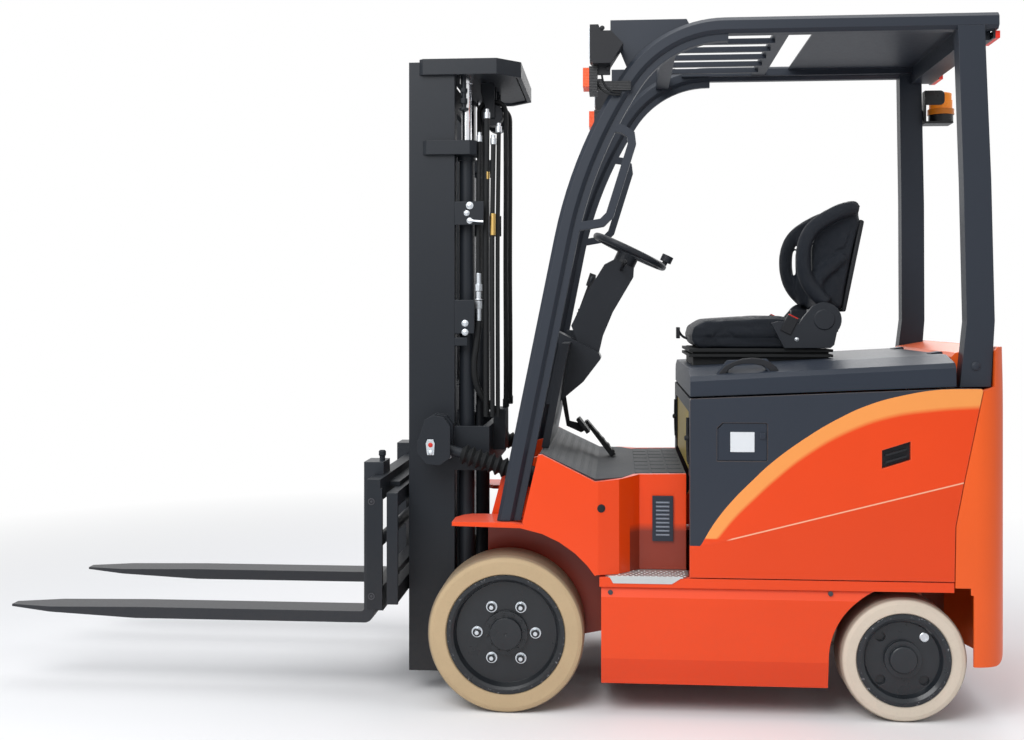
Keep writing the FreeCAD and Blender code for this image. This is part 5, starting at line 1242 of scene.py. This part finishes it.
class FORKLIFT_OT_controls(PieceOperator, bpy.types.Operator):
    """Lever boots, knobs, pedal pads and column switches"""

    bl_idname = "forklift.controls"
    bl_label = "Driver's controls"

    LEVERS = (112, 148, 184, 220)

    def execute(self, context):
        boots = Form()
        for y in self.LEVERS:
            profile = []
            for i, radius in enumerate((17, 15, 13, 11, 9)):
                z = i * 16
                profile += [(radius * 0.72, z), (radius, z + 6), (radius * 0.9, z + 10)]
            boots.lathe(profile + [(4, 82)], (232, y, 1290), (0.08, 0, 1), 20)
        boots.piece("lever_boots", "chassis", finish("rubber"), "black_rubber")
        knobs = Form()
        for y in self.LEVERS:
            knobs.lathe([(5, 0), (11, 10), (13, 26), (12, 40), (7, 48), (0, 49)],
                        (268, y, 1462), (0.38, 0, 1), 20)
        knobs.piece("lever_knobs", "chassis", finish("soft_plastic"), "black_plastic")
        pads = Form()
        for i in range(5):
            z0 = 812 + i * 22
            x0 = 366 - i * 20
            pads.prism([(x0 - 2, z0), (x0 + 3, z0 + 4), (x0 - 5, z0 + 13), (x0 - 10, z0 + 9)],
                       134, 196)
        pads.piece("pedal_ribs", "chassis", finish("rubber"), "black_rubber", 0.6)
        stalks = Form()
        stalks.tube([(392, -60, 1520), (400, -120, 1532), (404, -165, 1540)], 6)
        stalks.tube([(392, 60, 1520), (400, 120, 1532), (404, 160, 1538)], 6)
        stalks.lathe([(9, 0), (10, 6), (10, 34), (6, 40), (0, 40)], (403, -158, 1538),
                     (0.05, -1, 0.15), 16)
        stalks.lathe([(9, 0), (10, 6), (10, 34), (6, 40), (0, 40)], (403, 152, 1537),
                     (0.05, 1, 0.15), 16)
        stalks.piece("column_stalks", "chassis", finish("plastic"), "black_plastic")
        return {"FINISHED"}


class FORKLIFT_OT_stage(PieceOperator, bpy.types.Operator):
    """Pale floor, white surround, soft lamps and the camera"""

    bl_idname = "forklift.stage"
    bl_label = "Stage"

    def execute(self, context):
        _, _, stage = settings()
        scene = context.scene
        size = 40.0
        mesh = bpy.data.meshes.new("studio_floor")
        mesh.from_pydata([(-size, -size, 0), (size, -size, 0), (size, size, 0), (-size, size, 0)],
                         [], [(0, 1, 2, 3)])
        floor = bpy.data.objects.new("studio_floor", mesh)
        scene.collection.objects.link(floor)
        s = Shader("studio_floor", Roughness=0.7, Specular_IOR_Level=0.1)
        grain = s.noise(30.0, 3.0)
        s.set(Base_Color=s.mix(grain * 0.15, tuple(stage.floor), shade(stage.floor, 0.96)))
        reach = s.add("ShaderNodeVectorMath", {"operation": "LENGTH"}, {0: s.point}, "Value")
        camera_ray = s.add("ShaderNodeLightPath", {}, {})
        far = reach.above(3.6, 2.6) * camera_ray
        white = s.add("ShaderNodeEmission", {}, {"Color": (1, 1, 1), "Strength": 1.0})
        blend = s.add("ShaderNodeMixShader", {},
                      {0: far, 1: Wire(s, s.surface, s.surface.outputs[0]), 2: white})
        output = next(n for n in s.tree.nodes if n.type == "OUTPUT_MATERIAL")
        s.tree.links.new(blend.socket, output.inputs["Surface"])
        mesh.materials.append(s.material)
        self.world(scene)
        for name, place, aim, wide, power in (
                ("key_lamp", (-1.6, -4.2, 4.6), (0.3, 0, 0.9), 4.0, stage.key),
                ("fill_lamp", (3.0, 4.0, 4.0), (0.4, 0, 1.0), 4.0, stage.fill),
                ("top_lamp", (0.6, 0.0, 5.6), (0.5, 0, 0.8), 4.5, stage.fill)):
            lamp = bpy.data.lights.new(name, "AREA")
            lamp.shape = "DISK"
            lamp.size = wide
            lamp.energy = power
            holder = bpy.data.objects.new(name, lamp)
            holder.location = place
            ahead = Vector(aim) - Vector(place)
            holder.rotation_euler = ahead.to_track_quat("-Z", "Y").to_euler()
            scene.collection.objects.link(holder)
        wide, tall, focal, axis_x, axis_y, sensor = 1024, 740, 1228.77, 520.3, 313.8, 36
        camera = bpy.data.cameras.new("camera")
        camera.lens = focal / wide * sensor
        camera.sensor_width = sensor
        camera.shift_x = (wide / 2 - axis_x) / wide
        camera.shift_y = (axis_y - tall / 2) / wide
        holder = bpy.data.objects.new("camera", camera)
        holder.location = (0.3802 + AXLE_X, -4.6813, 1.3543)
        holder.rotation_euler = (math.pi / 2, 0, 0.0793)
        scene.collection.objects.link(holder)
        scene.camera = holder
        scene.view_settings.view_transform = "Standard"
        return {"FINISHED"}

    def world(self, scene):
        world = scene.world or bpy.data.worlds.new("studio")
        scene.world = world
        world.use_nodes = True
        tree = world.node_tree
        tree.nodes.clear()
        output = tree.nodes.new("ShaderNodeOutputWorld")
        lit = tree.nodes.new("ShaderNodeBackground")
        lit.inputs["Color"].default_value = (0.93, 0.96, 1.0, 1)
        lit.inputs["Strength"].default_value = 0.47
        seen = tree.nodes.new("ShaderNodeBackground")
        seen.inputs["Strength"].default_value = 1.0
        seen.inputs["Color"].default_value = (1, 1, 1, 1)
        path = tree.nodes.new("ShaderNodeLightPath")
        direct, mirror = (tree.nodes.new("ShaderNodeMath") for _ in range(2))
        direct.operation = mirror.operation = "MAXIMUM"
        tree.links.new(path.outputs["Is Camera Ray"], direct.inputs[0])
        tree.links.new(path.outputs["Is Glossy Ray"], direct.inputs[1])
        tree.links.new(direct.outputs[0], mirror.inputs[0])
        tree.links.new(path.outputs["Is Transmission Ray"], mirror.inputs[1])
        mix = tree.nodes.new("ShaderNodeMixShader")
        tree.links.new(mirror.outputs[0], mix.inputs[0])
        tree.links.new(lit.outputs[0], mix.inputs[1])
        tree.links.new(seen.outputs[0], mix.inputs[2])
        tree.links.new(mix.outputs[0], output.inputs["Surface"])


OPERATORS = (FORKLIFT_OT_finishes, FORKLIFT_OT_wheels, FORKLIFT_OT_seat, FORKLIFT_OT_body,
             FORKLIFT_OT_guard, FORKLIFT_OT_mast, FORKLIFT_OT_controls, FORKLIFT_OT_stage)


class FORKLIFT_PT_panel(bpy.types.Panel):
    """Lists the forklift's settings and its groups of pieces"""

    bl_label = "Forklift"
    bl_idname = "FORKLIFT_PT_panel"
    bl_space_type = "VIEW_3D"
    bl_region_type = "UI"
    bl_category = "Forklift"

    def draw(self, context):
        for group in settings():
            for name in group.__annotations__:
                self.layout.prop(group, name)
        for operator in OPERATORS:
            self.layout.operator(operator.bl_idname)


GROUPS = (("forklift_colours", ForkliftColours), ("forklift_sizes", ForkliftSizes),
          ("forklift_stage", ForkliftStage))


def register():
    for _, group in GROUPS:
        bpy.utils.register_class(group)
    for cls in OPERATORS + (FORKLIFT_PT_panel,):
        bpy.utils.register_class(cls)
    for name, group in GROUPS:
        setattr(bpy.types.Scene, name, PointerProperty(type=group))


def unregister():
    for name, _ in GROUPS:
        delattr(bpy.types.Scene, name)
    for cls in (FORKLIFT_PT_panel,) + OPERATORS[::-1]:
        bpy.utils.unregister_class(cls)
    for _, group in GROUPS[::-1]:
        bpy.utils.unregister_class(group)


def main():
    register()
    for operator in OPERATORS:
        group, name = operator.bl_idname.split(".")
        getattr(getattr(bpy.ops, group), name)()


if __name__ == "__main__":
    main()
